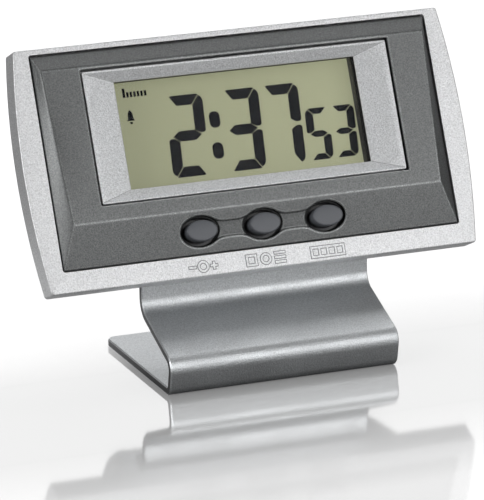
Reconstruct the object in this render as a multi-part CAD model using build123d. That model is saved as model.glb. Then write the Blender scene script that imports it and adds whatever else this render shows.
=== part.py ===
from build123d import *
from math import atan2, cos, degrees, radians, sin, tan
import os

# Digital desk alarm clock: a thin case with a liquid crystal display, three keys under it,
# and a bent sheet stand whose top edge is rolled round the hinge pin of the case.
# Row frame: origin in the middle of the stand's flat underside, X right, Y back, Z up.
# Head frame: x right, y up the face from its bottom edge, z out of the face to the reader.

# Head outline
HEAD_HEIGHT = 49.5
HEAD_CORNER_WIDTH = 92.0
SIDE_BULGE = 1.85
HEAD_CORNER_RADIUS = 0.7
FRAME_DEPTH = 5.1
FRAME_EDGE = 0.35
HEAD_LEAN = 24.4

# Opening in the front frame and the web behind it
SIDE_RIM = 2.95
OPENING_BOTTOM = 4.25
TOP_RIM = 1.2
OPENING_CORNER = 0.6
WEB = 1.4
WEB_BOARD_GAP = 2.4
WEB_SILL = 0.75
WEB_TOP_RIM = 3.9
WEB_OPENING_CORNER = 2.0

# Dark bezel: a raised plateau with four sloping facets
BEZEL_GAP = 0.33
BEZEL_SET_BACK = 0.25
PLATEAU_RISE = 1.6
PLATEAU_BOTTOM = 13.2
TOP_FACET = 3.65
SIDE_FACET_LOW = 3.25
SIDE_FACET_HIGH = 1.5
PLATEAU_EDGE = 0.45
BEZEL_INNER_PLANE = -1.2
SKIRT_WALL = 1.1

# Silver display bezel
SILVER_ABOVE = 1.05
SILVER_BELOW = 3.5
SILVER_BESIDE = 6.85
SILVER_RISE = 1.17
SILVER_LAND = 0.35
SILVER_GAP = 0.42
SILVER_CORNER = 0.35
SILVER_FACET_WIDTH = 6.85
SILVER_FACET_HEIGHT = 2.475
SIGHT_PLANE = -0.19
SIGHT_LIP = 0.25
SILVER_FLANGE = 1.1
SILVER_FLANGE_THICKNESS = 0.8

# Window and liquid crystal cell
LENS_THICKNESS = 1.0
LENS_BORDER = 1.4
LENS_CLEARANCE = 0.15
LENS_CORNER = 0.5
GLASS_BESIDE = 1.1
GLASS_BELOW = 2.225
GLASS_ABOVE = 1.525
GLASS_THICKNESS = 1.05
CRYSTAL_GAP = 0.1
POLARIZER_THICKNESS = 0.2
GLASS_LEDGE = 1.95
FILM_INSET = 0.2
FILM_DROP = 0.5
CELL_FRONT_PLANE = -3.5
SEAL_WIDTH = 0.6
HOLDER_WALL = 0.9
HOLDER_CLEARANCE = 0.1
HOLDER_SIGHT_TRIM = 0.25
HOLDER_CORNER = 0.6
EAR_ROOT = 4.0
ZEBRA_CLEARANCE = 0.2
ZEBRA_INSET = 1.0

# Keys
KEY_PITCH = 13.6
KEY_ROW_X = 0.27
KEY_ROW_Y = 9.05
KEY_HALF_WIDTH = 3.3
KEY_HALF_HEIGHT = 2.15
KEY_PROUD = 2.05
KEY_EDGE = 0.35
KEY_CLEARANCE = 0.6
KEY_FLANGE = 0.95
KEY_FLANGE_THICKNESS = 0.75
KEY_TRAVEL = 0.6
STEM_RADIUS = 1.0
STEM_RISE = 1.5
WELL_HALF_WIDTH = 4.3
WELL_HALF_HEIGHT = 3.2
WELL_DEPTH = 0.95
CHANNEL_HALF_HEIGHT = 1.6
CHANNEL_DEPTH = 0.6
CHANNEL_BLEND = 5.0
DOME_RADIUS = 2.0
DOME_TOP_RADIUS = 1.2
DOME_HEIGHT = 1.7
DOME_WALL = 0.35
PILL_GAP = 0.1

# Circuit board and what is soldered on it
BOARD_FRONT = -6.6
BOARD_THICKNESS = 1.0
BOARD_BESIDE_SCREW = 1.6
BOARD_BOTTOM = 8.2
BOARD_ABOVE_GLASS = 1.55
BOARD_CORNER = 1.0
SCREW_BESIDE_GLASS = 3.0
SCREW_OVER_BOTTOM = 1.65
SCREW_UNDER_TOP = 1.45
BOARD_SCREW_RADIUS = 0.6
BOARD_SCREW_HEAD = 1.2
BOARD_SCREW_HEAD_HEIGHT = 0.7
BOARD_SCREW_BITE = 3.0
EAR_RADIUS = 1.6
CHIP_X = -1.0
CHIP_Y = 14.5
CHIP_RADIUS = 4.2
CHIP_HEIGHT = 1.3
CHIP_CROWN_RATIO = 1.6
CRYSTAL_X = -12.0
CRYSTAL_Y = 13.0
CRYSTAL_RADIUS = 1.0
CRYSTAL_LENGTH = 6.0
LEAD_REACH = 1.0
LEAD_SPREAD = 0.4
LEAD_HALF = 0.12
CHIP_PART_LENGTH = 2.0
CHIP_PART_WIDTH = 1.25
CAPACITOR_HEIGHT = 0.8
CAPACITOR_PLACES = ((-20.0, 18.5), (-20.0, 21.5), (7.0, 12.0), (9.5, 12.0), (-2.0, 38.0))
RESISTOR_HEIGHT = 0.5
RESISTOR_PLACES = ((12.0, 12.0), (15.0, 12.0), (-5.5, 38.0), (-9.0, 38.0))

# Rear housing
HOUSING_SEAT = 1.7
HOUSING_BOTTOM = 2.2
HOUSING_UNDER_TOP = 2.2
HOUSING_DEPTH = 10.9
SIDE_DRAFT = 31.8
TOP_DRAFT = 15.0
HOUSING_CORNER = 4.5
HOUSING_BACK_EDGE = 4.0
HOUSING_WALL = 1.6
HOUSING_FOOT = 0.7
HOUSING_FOOT_THICKNESS = 0.6
HOUSING_FOOT_ROUND = 0.48
LIP_WALL = 0.9
LIP_DEPTH = 1.1
LIP_ROOT = 2.2
LIP_CLEARANCE = 0.1
HOOK_X = 18.0
HOOK_WIDTH = 6.0
HOOK_RISE = 0.9
HOOK_THICKNESS = 0.9
SUPPORT_DROP = 6.5
SUPPORT_RADIUS = 1.5

# Case screws
CASE_SCREW_INSET = 6.2
CASE_SCREW_Y = 12.5
CASE_SCREW_RADIUS = 0.85
CASE_SCREW_HEAD = 1.6
CASE_SCREW_HEAD_HEIGHT = 1.2
CASE_SCREW_LENGTH = 9.5
SCREW_CLEARANCE = 0.1
THREAD_CLEARANCE = 0.01
POST_WALL = 1.1
TUBE_WALL = 0.8
SCREW_HEAD_CLEARANCE = 0.2
SCREW_TIP_ROOM = 0.3
HEAD_SEAT = -12.5
SCREW_SLOT = 0.35
SCREW_SLOT_REACH = 0.6
SCREW_SLOT_DEPTH = 0.5
SCREW_HEAD_ROUND = 0.4

# Battery compartment
BATTERY_X = 12.5
BATTERY_DROP = 3.15
CELL_RADIUS = 5.8
CELL_HEIGHT = 5.4
CELL_CAP_RADIUS = 4.9
CELL_CAP_STEP = 0.6
CELL_EDGE = 0.4
CUP_CLEARANCE = 0.3
CUP_WALL = 1.4
CUP_FRONT = -8.9
CAP_RADIUS = 7.35
CAP_THICKNESS = 2.1
CAP_CLEARANCE = 0.1
CAP_LUG = 0.85
CAP_LUG_THICKNESS = 0.8
CAP_LUG_ANGLE = 32.0
CAP_TURN = 40.0
CAP_RIM = 1.25
CAP_GROOVE_CLEARANCE = 0.05
CAP_SEAT_CLEARANCE = 0.1
CAP_ENTRY_MARGIN = 3.0
CAP_EDGE = 0.2
CUP_SHOULDER_WALL = 1.0
CUP_SHOULDER_DEPTH = 2.0
COIN_SLOT_LENGTH = 10.0
COIN_SLOT_WIDTH = 1.7
COIN_SLOT_DEPTH = 0.8
CONTACT_THICKNESS = 0.25
CONTACT_WIDTH = 3.0
CONTACT_CLEARANCE = 0.4
CONTACT_FOOT = 2.0
CONTACT_DEPTH = 4.8
TONGUE_ROOT = 3.0
TONGUE_TIP = 2.5
TONGUE_BEND = 1.2

# Buzzer
BUZZER_X = -13.0
BUZZER_RADIUS = 9.0
BUZZER_PLATE_THICKNESS = 0.2
CERAMIC_RADIUS = 6.0
CERAMIC_THICKNESS = 0.25
BUZZER_SEAT_HEIGHT = 1.0
BUZZER_SEAT_WALL = 1.2
BUZZER_SEAT_MARGIN = 0.2
SOUND_HOLE_COUNT = 6
SOUND_HOLE_RADIUS = 0.65
SOUND_HOLE_PITCH = 3.2
SPRING_RADIUS = 0.9
SPRING_WIRE = 0.14
SPRING_PITCH = 0.85

# Stand: one bent sheet
STAND_WIDTH = 49.4
FOOT_LENGTH = 36.55
SHEET = 1.6
TOE_RADIUS = 2.3
NOSE_RADIUS = 3.3
NOSE_LEAN = 11.0
NOSE_OVERHANG = 1.3
RAMP_ANGLE = 21.8
RAMP_TOP = 14.0
RAMP_BEND_RADIUS = 3.3
FLANGE_SET_BACK = 14.25
FOOT_CORNER = 2.0
SHEET_EASE = 0.25

# Hinge
PIN_RADIUS = 0.9
PIN_CLEARANCE = 0.03
PIN_FIT = 0.01
PIN_CHAMFER = 0.15
HINGE_HEIGHT = 20.9
HEAD_SET_OUT = 9.525
HEAD_RISE = 0.55
RECESS_CLEARANCE = 0.4
RECESS_WALL = 0.9
RIB_THICKNESS = 2.6
WASHER_RADIUS = 2.4
WASHER_THICKNESS = 0.25
WASHER_CLEARANCE = 0.04

# The photographed time, as plain numbers: seven bars a figure, drawn for this size of window
FIGURE_FIELD_WIDTH = 52.2
FIGURE_FIELD_HEIGHT = 21.95
DIGIT_BOTTOM = 1.865
DIGIT_HEIGHT = 16.74
DIGIT_WIDTH = 8.1
DIGIT_LYING = 2.1
DIGIT_STANDING = 2.3
DIGIT_CUT = 0.12
DIGIT_SLANT = 2.9
SMALL_BOTTOM = 2.205
SMALL_HEIGHT = 10.73
SMALL_WIDTH = 5.25
SMALL_LYING = 1.25
SMALL_STANDING = 1.72
SMALL_CUT = 0.1
DIGIT_PLACES = ((-15.13, "2"), (-2.95, "3"), (5.78, "7"))
SMALL_PLACES = ((14.78, "5"), (20.4, "3"))
COLON_X = -4.9
COLON_LOW = 6.495
COLON_HIGH = 12.895
COLON_WIDTH = 2.3
COLON_HEIGHT = 3.36
COLON_CORNER = 1.05

# Ends of the bars, in shares of the standing stroke: in from the side, then from the end
LYING_TIP = (0.42, 0.06)
LYING_SHOULDER = 0.56
WAIST_TIP = 0.42
STANDING_CROWN = ((0.4, 0.14), (0.16, 0.3), (0.0, 0.62))
STANDING_FOOT = ((0.0, 0.33), (0.16, 0.18), (0.5, 0.16), (1.0, 0.48))
BARS = {"2": "abged", "3": "abgcd", "5": "afgcd", "7": "abc"}

# Derived places in the row frame
FLANGE_FRONT_Y = -FOOT_LENGTH / 2 + FLANGE_SET_BACK
CURL_INNER = PIN_RADIUS + PIN_CLEARANCE
CURL_OUTER = CURL_INNER + SHEET
HINGE_Y = FLANGE_FRONT_Y + CURL_OUTER
HEAD_Y = HINGE_Y - HEAD_SET_OUT
HEAD_Z = HINGE_HEIGHT + HEAD_RISE
HEAD = Plane(
    origin=(0, HEAD_Y, HEAD_Z),
    x_dir=(1, 0, 0),
    z_dir=(0, -cos(radians(HEAD_LEAN)), sin(radians(HEAD_LEAN))),
)

# Derived outlines in the head frame, each from the one round it
OPENING_WIDTH = HEAD_CORNER_WIDTH - 2 * SIDE_RIM
OPENING_TOP = HEAD_HEIGHT - TOP_RIM
PLATEAU_TOP = OPENING_TOP - TOP_FACET
PLATEAU_BOTTOM_WIDTH = OPENING_WIDTH - 2 * SIDE_FACET_LOW
PLATEAU_TOP_WIDTH = OPENING_WIDTH - 2 * SIDE_FACET_HIGH
SILVER_WIDTH = PLATEAU_BOTTOM_WIDTH - 2 * SILVER_BESIDE
SILVER_HEIGHT = PLATEAU_TOP - PLATEAU_BOTTOM - SILVER_ABOVE - SILVER_BELOW
DISPLAY_MIDDLE = PLATEAU_TOP - SILVER_ABOVE - SILVER_HEIGHT / 2
SIGHT_WIDTH = SILVER_WIDTH - 2 * SILVER_FACET_WIDTH
SIGHT_HEIGHT = SILVER_HEIGHT - 2 * SILVER_FACET_HEIGHT
SIGHT_BOTTOM = DISPLAY_MIDDLE - SIGHT_HEIGHT / 2
SIGHT_TOP = DISPLAY_MIDDLE + SIGHT_HEIGHT / 2
GLASS_WIDTH = SIGHT_WIDTH + 2 * GLASS_BESIDE
GLASS_BOTTOM = SIGHT_BOTTOM - GLASS_BELOW
GLASS_TOP = SIGHT_TOP + GLASS_ABOVE
BOARD_SCREW_X = GLASS_WIDTH / 2 + SCREW_BESIDE_GLASS
BOARD_SCREW_LOW = GLASS_BOTTOM + SCREW_OVER_BOTTOM
BOARD_SCREW_HIGH = GLASS_TOP - SCREW_UNDER_TOP
BOARD_WIDTH = 2 * (BOARD_SCREW_X + BOARD_BESIDE_SCREW)
BOARD_TOP = GLASS_TOP + BOARD_ABOVE_GLASS
WEB_OPENING_WIDTH = BOARD_WIDTH + 2 * WEB_BOARD_GAP
WEB_OPENING_BOTTOM = OPENING_BOTTOM + WEB_SILL
WEB_OPENING_TOP = HEAD_HEIGHT - WEB_TOP_RIM
HOUSING_WIDTH = WEB_OPENING_WIDTH + 2 * HOUSING_SEAT
HOUSING_TOP = HEAD_HEIGHT - HOUSING_UNDER_TOP
SUPPORT_Y = HOUSING_TOP - SUPPORT_DROP
CASE_SCREW_X = BOARD_SCREW_X - CASE_SCREW_INSET
SUPPORT_X = CASE_SCREW_X
BATTERY_Y = DISPLAY_MIDDLE - BATTERY_DROP
BUZZER_Y = BATTERY_Y
FACET_RUN = PLATEAU_BOTTOM - OPENING_BOTTOM - BEZEL_GAP
FACET_RISE = PLATEAU_RISE + BEZEL_SET_BACK
FACET_SLOPE = degrees(atan2(FACET_RISE, FACET_RUN))
FACET_AT_KEYS = FACET_RISE * (KEY_ROW_Y - OPENING_BOTTOM - BEZEL_GAP) / FACET_RUN - BEZEL_SET_BACK
FIGURE_SCALE = min(SIGHT_WIDTH / FIGURE_FIELD_WIDTH, SIGHT_HEIGHT / FIGURE_FIELD_HEIGHT)

# Derived planes and places in the head frame
HINGE = HEAD.to_local_coords(Vector(0, HINGE_Y, HINGE_HEIGHT))
WEB_FRONT = -FRAME_DEPTH + WEB
LENS_FRONT = SIGHT_PLANE - SIGHT_LIP
LENS_BACK = LENS_FRONT - LENS_THICKNESS
SILVER_BACK = BEZEL_INNER_PLANE - SILVER_FLANGE_THICKNESS
GLASS_FRONT = CELL_FRONT_PLANE - POLARIZER_THICKNESS
CRYSTAL_FRONT = GLASS_FRONT - GLASS_THICKNESS
CRYSTAL_BACK = CRYSTAL_FRONT - CRYSTAL_GAP
GLASS_BACK = CRYSTAL_BACK - GLASS_THICKNESS
REAR_GLASS_BOTTOM = GLASS_BOTTOM + GLASS_LEDGE
BOARD_BACK = BOARD_FRONT - BOARD_THICKNESS
HOUSING_BACK = -FRAME_DEPTH - HOUSING_DEPTH
HOUSING_INNER = HOUSING_BACK + HOUSING_WALL
KEY_FLANGE_FRONT = BEZEL_INNER_PLANE
KEY_FLANGE_BACK = KEY_FLANGE_FRONT - KEY_FLANGE_THICKNESS
DOME_TOP = BOARD_FRONT + DOME_HEIGHT
STEM_Y = KEY_ROW_Y + STEM_RISE
CELL_BACK = HOUSING_BACK + CAP_THICKNESS + CAP_SEAT_CLEARANCE
CELL_FRONT = CELL_BACK + CELL_HEIGHT
CONTACT_END = BOARD_BACK - CONTACT_DEPTH
CUP_RADIUS = CELL_RADIUS + CUP_CLEARANCE
GROOVE_RADIUS = CAP_RADIUS + CAP_LUG + CAP_CLEARANCE
CAP_RIM_BACK = HOUSING_BACK + CAP_RIM
BUZZER_BACK = HOUSING_INNER + BUZZER_SEAT_HEIGHT
RECESS_RADIUS = CURL_OUTER + RECESS_CLEARANCE
RECESS_HALF = STAND_WIDTH / 2 + WASHER_THICKNESS + 2 * WASHER_CLEARANCE
KEY_NAMES = ("set", "mode", "date")


def block(x0, x1, y0, y1, z0, z1):
    """Box between two opposite corners."""
    return Pos(x0, y0, z0) * Box(x1 - x0, y1 - y0, z1 - z0, align=Align.MIN)


def rectangle(width, y0, y1, corner):
    """Rectangle centred on x = 0, with round corners where corner is over 0."""
    place = Pos(0, (y0 + y1) / 2)
    if corner > 0:
        return place * RectangleRounded(width, y1 - y0, corner)
    return place * Rectangle(width, y1 - y0)


def slab(width, y0, y1, z0, z1, corner=0.0):
    """Plate centred on x = 0 that reaches from z0 up to z1."""
    return extrude(Pos(0, 0, z0) * rectangle(width, y0, y1, corner), z1 - z0)


def rod(x, y, z0, z1, radius):
    """Round bar along z from z0 up to z1."""
    return Pos(x, y, z0) * extrude(Circle(radius), z1 - z0)


def oval(x, y, z0, z1, half_width, half_height):
    """Elliptical bar along z from z0 up to z1."""
    return Pos(x, y, z0) * extrude(Ellipse(half_width, half_height), z1 - z0)


def mirrored_x(x):
    """The two places of a pair, left and right."""
    return (-x, x)


def board_screw_places():
    return [(x, y) for x in mirrored_x(BOARD_SCREW_X) for y in (BOARD_SCREW_LOW, BOARD_SCREW_HIGH)]


def key_places():
    return [KEY_ROW_X + (index - 1) * KEY_PITCH for index in range(len(KEY_NAMES))]


def head_outline():
    """Face of the head: straight top and bottom, sides swelling outwards as arcs."""
    half = HEAD_CORNER_WIDTH / 2
    middle = HEAD_HEIGHT / 2
    edges = [
        Line((-half, 0), (half, 0)),
        ThreePointArc((half, 0), (half + SIDE_BULGE, middle), (half, HEAD_HEIGHT)),
        Line((half, HEAD_HEIGHT), (-half, HEAD_HEIGHT)),
        ThreePointArc((-half, HEAD_HEIGHT), (-half - SIDE_BULGE, middle), (-half, 0)),
    ]
    face = make_face(edges)
    return fillet(face.vertices(), HEAD_CORNER_RADIUS)


def front_frame():
    """Silver outer frame: a deep rim with a web behind that carries the bezel and the housing."""
    rim = extrude(head_outline(), -FRAME_DEPTH)
    rim = fillet(rim.faces().sort_by(Axis.Z)[-1].edges(), FRAME_EDGE)
    opening = slab(OPENING_WIDTH, OPENING_BOTTOM, OPENING_TOP, WEB_FRONT, 1, OPENING_CORNER)
    web_hole = slab(
        WEB_OPENING_WIDTH, WEB_OPENING_BOTTOM, WEB_OPENING_TOP,
        -FRAME_DEPTH - 1, WEB_FRONT + 1, WEB_OPENING_CORNER,
    )
    return rim - opening - web_hole


def bezel_outline():
    return rectangle(
        OPENING_WIDTH - 2 * BEZEL_GAP, OPENING_BOTTOM + BEZEL_GAP, OPENING_TOP - BEZEL_GAP, 0
    )


def plateau_outline():
    bottom = PLATEAU_BOTTOM_WIDTH / 2
    top = PLATEAU_TOP_WIDTH / 2
    return make_face(Polyline(
        (-bottom, PLATEAU_BOTTOM), (bottom, PLATEAU_BOTTOM), (top, PLATEAU_TOP), (-top, PLATEAU_TOP),
        close=True,
    ))


def key_trough():
    """Three wells joined by a narrower, shallower channel, sunk square into the lower facet."""
    wells = Sketch() + [Pos(x, 0) * Ellipse(WELL_HALF_WIDTH, WELL_HALF_HEIGHT) for x in key_places()]
    channel = Pos(KEY_ROW_X, 0) * Rectangle(2 * KEY_PITCH, 2 * CHANNEL_HALF_HEIGHT)
    outline = fillet((wells + channel).vertices(), CHANNEL_BLEND)
    above = 2 * PLATEAU_RISE
    sunk = Pos(0, 0, -CHANNEL_DEPTH) * extrude(outline, CHANNEL_DEPTH + above)
    sunk += Pos(0, 0, -WELL_DEPTH) * extrude(wells, WELL_DEPTH + above)
    return Pos(0, KEY_ROW_Y, FACET_AT_KEYS) * Rot(FACET_SLOPE, 0, 0) * sunk


def dark_bezel():
    """Charcoal bezel with sloping facets, the display window, the key trough and screw posts."""
    facets = loft([Pos(0, 0, -BEZEL_SET_BACK) * bezel_outline(), Pos(0, 0, PLATEAU_RISE) * plateau_outline()])
    ridge = facets.faces().sort_by(Axis.Z)[-1].edges()
    body = fillet(ridge, PLATEAU_EDGE)
    body += Pos(0, 0, WEB_FRONT) * extrude(bezel_outline(), -BEZEL_SET_BACK - WEB_FRONT)
    inset = BEZEL_GAP + SKIRT_WALL
    body -= slab(
        OPENING_WIDTH - 2 * inset, OPENING_BOTTOM + inset, OPENING_TOP - inset,
        WEB_FRONT - 1, BEZEL_INNER_PLANE,
    )
    window_half = SILVER_HEIGHT / 2 + SILVER_GAP
    body -= slab(
        SILVER_WIDTH + 2 * SILVER_GAP, DISPLAY_MIDDLE - window_half, DISPLAY_MIDDLE + window_half,
        WEB_FRONT, PLATEAU_RISE + 1, SILVER_CORNER,
    )
    body -= key_trough()
    for x in key_places():
        body -= oval(
            x, KEY_ROW_Y, BEZEL_INNER_PLANE - 1, PLATEAU_RISE + 1,
            KEY_HALF_WIDTH + KEY_CLEARANCE, KEY_HALF_HEIGHT + KEY_CLEARANCE,
        )
    for x in mirrored_x(CASE_SCREW_X):
        body += rod(x, CASE_SCREW_Y, BOARD_FRONT, BEZEL_INNER_PLANE, CASE_SCREW_RADIUS + POST_WALL)
        body -= rod(
            x, CASE_SCREW_Y, BOARD_FRONT - 1, HEAD_SEAT + CASE_SCREW_LENGTH + SCREW_TIP_ROOM,
            CASE_SCREW_RADIUS + THREAD_CLEARANCE,
        )
    return body


def lcd_bezel():
    """Silver display bezel: four mitred facets that slope in to the sight opening."""
    half = SILVER_HEIGHT / 2
    body = slab(
        SILVER_WIDTH, DISPLAY_MIDDLE - half, DISPLAY_MIDDLE + half, SILVER_BACK, SILVER_RISE, SILVER_CORNER
    )
    flange = half + SILVER_FLANGE
    body += slab(
        SILVER_WIDTH + 2 * SILVER_FLANGE, DISPLAY_MIDDLE - flange, DISPLAY_MIDDLE + flange,
        SILVER_BACK, BEZEL_INNER_PLANE,
    )
    land = half - SILVER_LAND
    facet_top = rectangle(
        SILVER_WIDTH - 2 * SILVER_LAND, DISPLAY_MIDDLE - land, DISPLAY_MIDDLE + land, 0
    )
    sight = rectangle(SIGHT_WIDTH, SIGHT_BOTTOM, SIGHT_TOP, 0)
    body -= loft([Pos(0, 0, SIGHT_PLANE) * sight, Pos(0, 0, SILVER_RISE) * facet_top])
    body -= slab(SIGHT_WIDTH, SIGHT_BOTTOM, SIGHT_TOP, SILVER_BACK - 1, SIGHT_PLANE + 0.5)
    border = LENS_BORDER + LENS_CLEARANCE
    body -= slab(
        SIGHT_WIDTH + 2 * border, SIGHT_BOTTOM - border, SIGHT_TOP + border, SILVER_BACK - 1, LENS_FRONT
    )
    return body


def window_lens():
    return slab(
        SIGHT_WIDTH + 2 * LENS_BORDER, SIGHT_BOTTOM - LENS_BORDER, SIGHT_TOP + LENS_BORDER,
        LENS_BACK, LENS_FRONT, LENS_CORNER,
    )


def lcd_holder():
    """Black frame that grips the glass against the board and walls off the space before it."""
    side = HOLDER_CLEARANCE + HOLDER_WALL
    body = slab(
        GLASS_WIDTH + 2 * side, GLASS_BOTTOM - side, GLASS_TOP + side, BOARD_FRONT, SILVER_BACK,
        HOLDER_CORNER,
    )
    nose = LENS_BORDER
    body += slab(
        SIGHT_WIDTH + 2 * nose, SIGHT_BOTTOM - nose, SIGHT_TOP + nose, SILVER_BACK, LENS_BACK, LENS_CORNER
    )
    for x, y in board_screw_places():
        body += rod(x, y, BOARD_FRONT, SILVER_BACK, EAR_RADIUS)
        root = x - EAR_ROOT if x > 0 else x + EAR_ROOT
        body += block(min(x, root), max(x, root), y - EAR_RADIUS, y + EAR_RADIUS, BOARD_FRONT, SILVER_BACK)
    body -= slab(
        GLASS_WIDTH + 2 * HOLDER_CLEARANCE, GLASS_BOTTOM - HOLDER_CLEARANCE, GLASS_TOP + HOLDER_CLEARANCE,
        BOARD_FRONT - 1, CELL_FRONT_PLANE,
    )
    body -= slab(
        SIGHT_WIDTH - 2 * HOLDER_SIGHT_TRIM, SIGHT_BOTTOM - HOLDER_SIGHT_TRIM, SIGHT_TOP + HOLDER_SIGHT_TRIM,
        CELL_FRONT_PLANE - 1, LENS_BACK + 1,
    )
    for x, y in board_screw_places():
        bite = BOARD_FRONT + BOARD_SCREW_BITE
        body -= rod(x, y, BOARD_FRONT - 1, bite, BOARD_SCREW_RADIUS + THREAD_CLEARANCE)
    return body


def lcd_front_polarizer():
    return slab(
        GLASS_WIDTH - 2 * FILM_INSET, REAR_GLASS_BOTTOM - FILM_DROP, GLASS_TOP - FILM_INSET,
        GLASS_FRONT, CELL_FRONT_PLANE,
    )


def lcd_front_glass():
    return slab(GLASS_WIDTH, GLASS_BOTTOM, GLASS_TOP, CRYSTAL_FRONT, GLASS_FRONT)


def lcd_edge_seal():
    seal = slab(GLASS_WIDTH, REAR_GLASS_BOTTOM, GLASS_TOP, CRYSTAL_BACK, CRYSTAL_FRONT)
    return seal - slab(
        GLASS_WIDTH - 2 * SEAL_WIDTH, REAR_GLASS_BOTTOM + SEAL_WIDTH, GLASS_TOP - SEAL_WIDTH,
        CRYSTAL_BACK - 1, CRYSTAL_FRONT + 1,
    )


def lcd_rear_glass():
    return slab(GLASS_WIDTH, REAR_GLASS_BOTTOM, GLASS_TOP, GLASS_BACK, CRYSTAL_BACK)


def lcd_reflector():
    return slab(
        GLASS_WIDTH - 2 * FILM_INSET, REAR_GLASS_BOTTOM + FILM_INSET, GLASS_TOP - FILM_INSET,
        GLASS_BACK - POLARIZER_THICKNESS, GLASS_BACK,
    )


def bar_outlines(width, height, lying, standing, cut):
    """The seven bars of a figure, by letter: round outer corners and a thin cut between bars."""
    middle = height / 2
    tip_in, tip_down = LYING_TIP[0] * standing, LYING_TIP[1] * standing
    shoulder = LYING_SHOULDER * standing
    inner = standing + cut
    top = [
        (tip_in, height - tip_down), (shoulder, height), (width - shoulder, height),
        (width - tip_in, height - tip_down), (width - inner, height - lying), (inner, height - lying),
    ]
    upright = [(width - side * standing, height - end * standing) for side, end in STANDING_CROWN]
    upright += [(width - side * standing, middle + end * standing) for side, end in STANDING_FOOT]
    upright.append((width - standing, height - lying - cut))
    waist_tip = WAIST_TIP * standing
    waist = [
        (waist_tip, middle), (standing, middle + lying / 2), (width - standing, middle + lying / 2),
        (width - waist_tip, middle), (width - standing, middle - lying / 2), (standing, middle - lying / 2),
    ]

    def upside_down(points):
        return [(x, height - y) for x, y in points]

    def left_right(points):
        return [(width - x, y) for x, y in points]

    return {
        "a": top, "d": upside_down(top), "g": waist, "b": upright, "c": upside_down(upright),
        "f": left_right(upright), "e": left_right(upside_down(upright)),
    }


def slanted(x, y):
    """Place in the window of a point of the upright drawing of the figures."""
    return (x + y * tan(radians(DIGIT_SLANT))) * FIGURE_SCALE, y * FIGURE_SCALE


def figure(character, x, y, outlines):
    """One seven-bar figure as thin plates between the two glasses."""
    plates = []
    for letter in BARS[character]:
        corners = [slanted(px, py) for px, py in outlines[letter]]
        points = [(x * FIGURE_SCALE + px, y * FIGURE_SCALE + py) for px, py in corners]
        face = make_face(Polyline(*points, close=True))
        plates.append(Pos(0, SIGHT_BOTTOM, CRYSTAL_BACK) * extrude(face, CRYSTAL_GAP))
    return plates


def lcd_segments():
    """Darkened bars of the liquid crystal: hours, colon, minutes and small seconds."""
    plates = []
    large = bar_outlines(DIGIT_WIDTH, DIGIT_HEIGHT, DIGIT_LYING, DIGIT_STANDING, DIGIT_CUT)
    small = bar_outlines(SMALL_WIDTH, SMALL_HEIGHT, SMALL_LYING, SMALL_STANDING, SMALL_CUT)
    for x, character in DIGIT_PLACES:
        plates += figure(character, x, DIGIT_BOTTOM, large)
    for x, character in SMALL_PLACES:
        plates += figure(character, x, SMALL_BOTTOM, small)
    dot = RectangleRounded(
        COLON_WIDTH * FIGURE_SCALE, COLON_HEIGHT * FIGURE_SCALE, COLON_CORNER * FIGURE_SCALE
    )
    for y in (COLON_LOW, COLON_HIGH):
        side, up = slanted(COLON_X, y - DIGIT_BOTTOM)
        place = Pos(side, SIGHT_BOTTOM + DIGIT_BOTTOM * FIGURE_SCALE + up, CRYSTAL_BACK)
        plates.append(place * extrude(dot, CRYSTAL_GAP))
    return Compound(plates)


def zebra_strip():
    """Striped rubber connector under the ledge of the front glass."""
    return slab(
        GLASS_WIDTH - 2 * ZEBRA_INSET, GLASS_BOTTOM + ZEBRA_CLEARANCE, REAR_GLASS_BOTTOM - ZEBRA_CLEARANCE,
        BOARD_FRONT, CRYSTAL_FRONT,
    )


def circuit_board():
    body = slab(BOARD_WIDTH, BOARD_BOTTOM, BOARD_TOP, BOARD_BACK, BOARD_FRONT, BOARD_CORNER)
    for x in mirrored_x(CASE_SCREW_X):
        body -= rod(x, CASE_SCREW_Y, BOARD_BACK - 1, BOARD_FRONT + 1, CASE_SCREW_RADIUS + SCREW_CLEARANCE)
    for x, y in board_screw_places():
        body -= rod(x, y, BOARD_BACK - 1, BOARD_FRONT + 1, BOARD_SCREW_RADIUS + SCREW_CLEARANCE)
    return body


def chip_blob():
    """Domed black resin over the bare chip, on the back of the board."""
    crown = CHIP_RADIUS * CHIP_CROWN_RATIO
    disc = rod(CHIP_X, CHIP_Y, BOARD_BACK - CHIP_HEIGHT, BOARD_BACK, CHIP_RADIUS)
    return disc & (Pos(CHIP_X, CHIP_Y, BOARD_BACK - CHIP_HEIGHT + crown) * Sphere(crown))


def quartz_crystal():
    """Watch crystal: a small can lying on the board with two bent leads."""
    axis_z = BOARD_BACK - CRYSTAL_RADIUS
    can = Pos(CRYSTAL_X, CRYSTAL_Y, axis_z) * Rot(0, 90, 0) * Cylinder(CRYSTAL_RADIUS, CRYSTAL_LENGTH)
    root = CRYSTAL_X + CRYSTAL_LENGTH / 2
    tip = root + LEAD_REACH
    for side in mirrored_x(LEAD_SPREAD):
        low = CRYSTAL_Y + side - LEAD_HALF
        high = CRYSTAL_Y + side + LEAD_HALF
        can += block(root - LEAD_HALF, tip, low, high, axis_z - LEAD_HALF, axis_z + LEAD_HALF)
        can += block(tip - 2 * LEAD_HALF, tip, low, high, axis_z, BOARD_BACK)
    return can


def chip_parts(places, height):
    """Small rectangular parts soldered on the back of the board."""
    return Compound([
        block(x, x + CHIP_PART_LENGTH, y, y + CHIP_PART_WIDTH, BOARD_BACK - height, BOARD_BACK)
        for x, y in places
    ])


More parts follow.
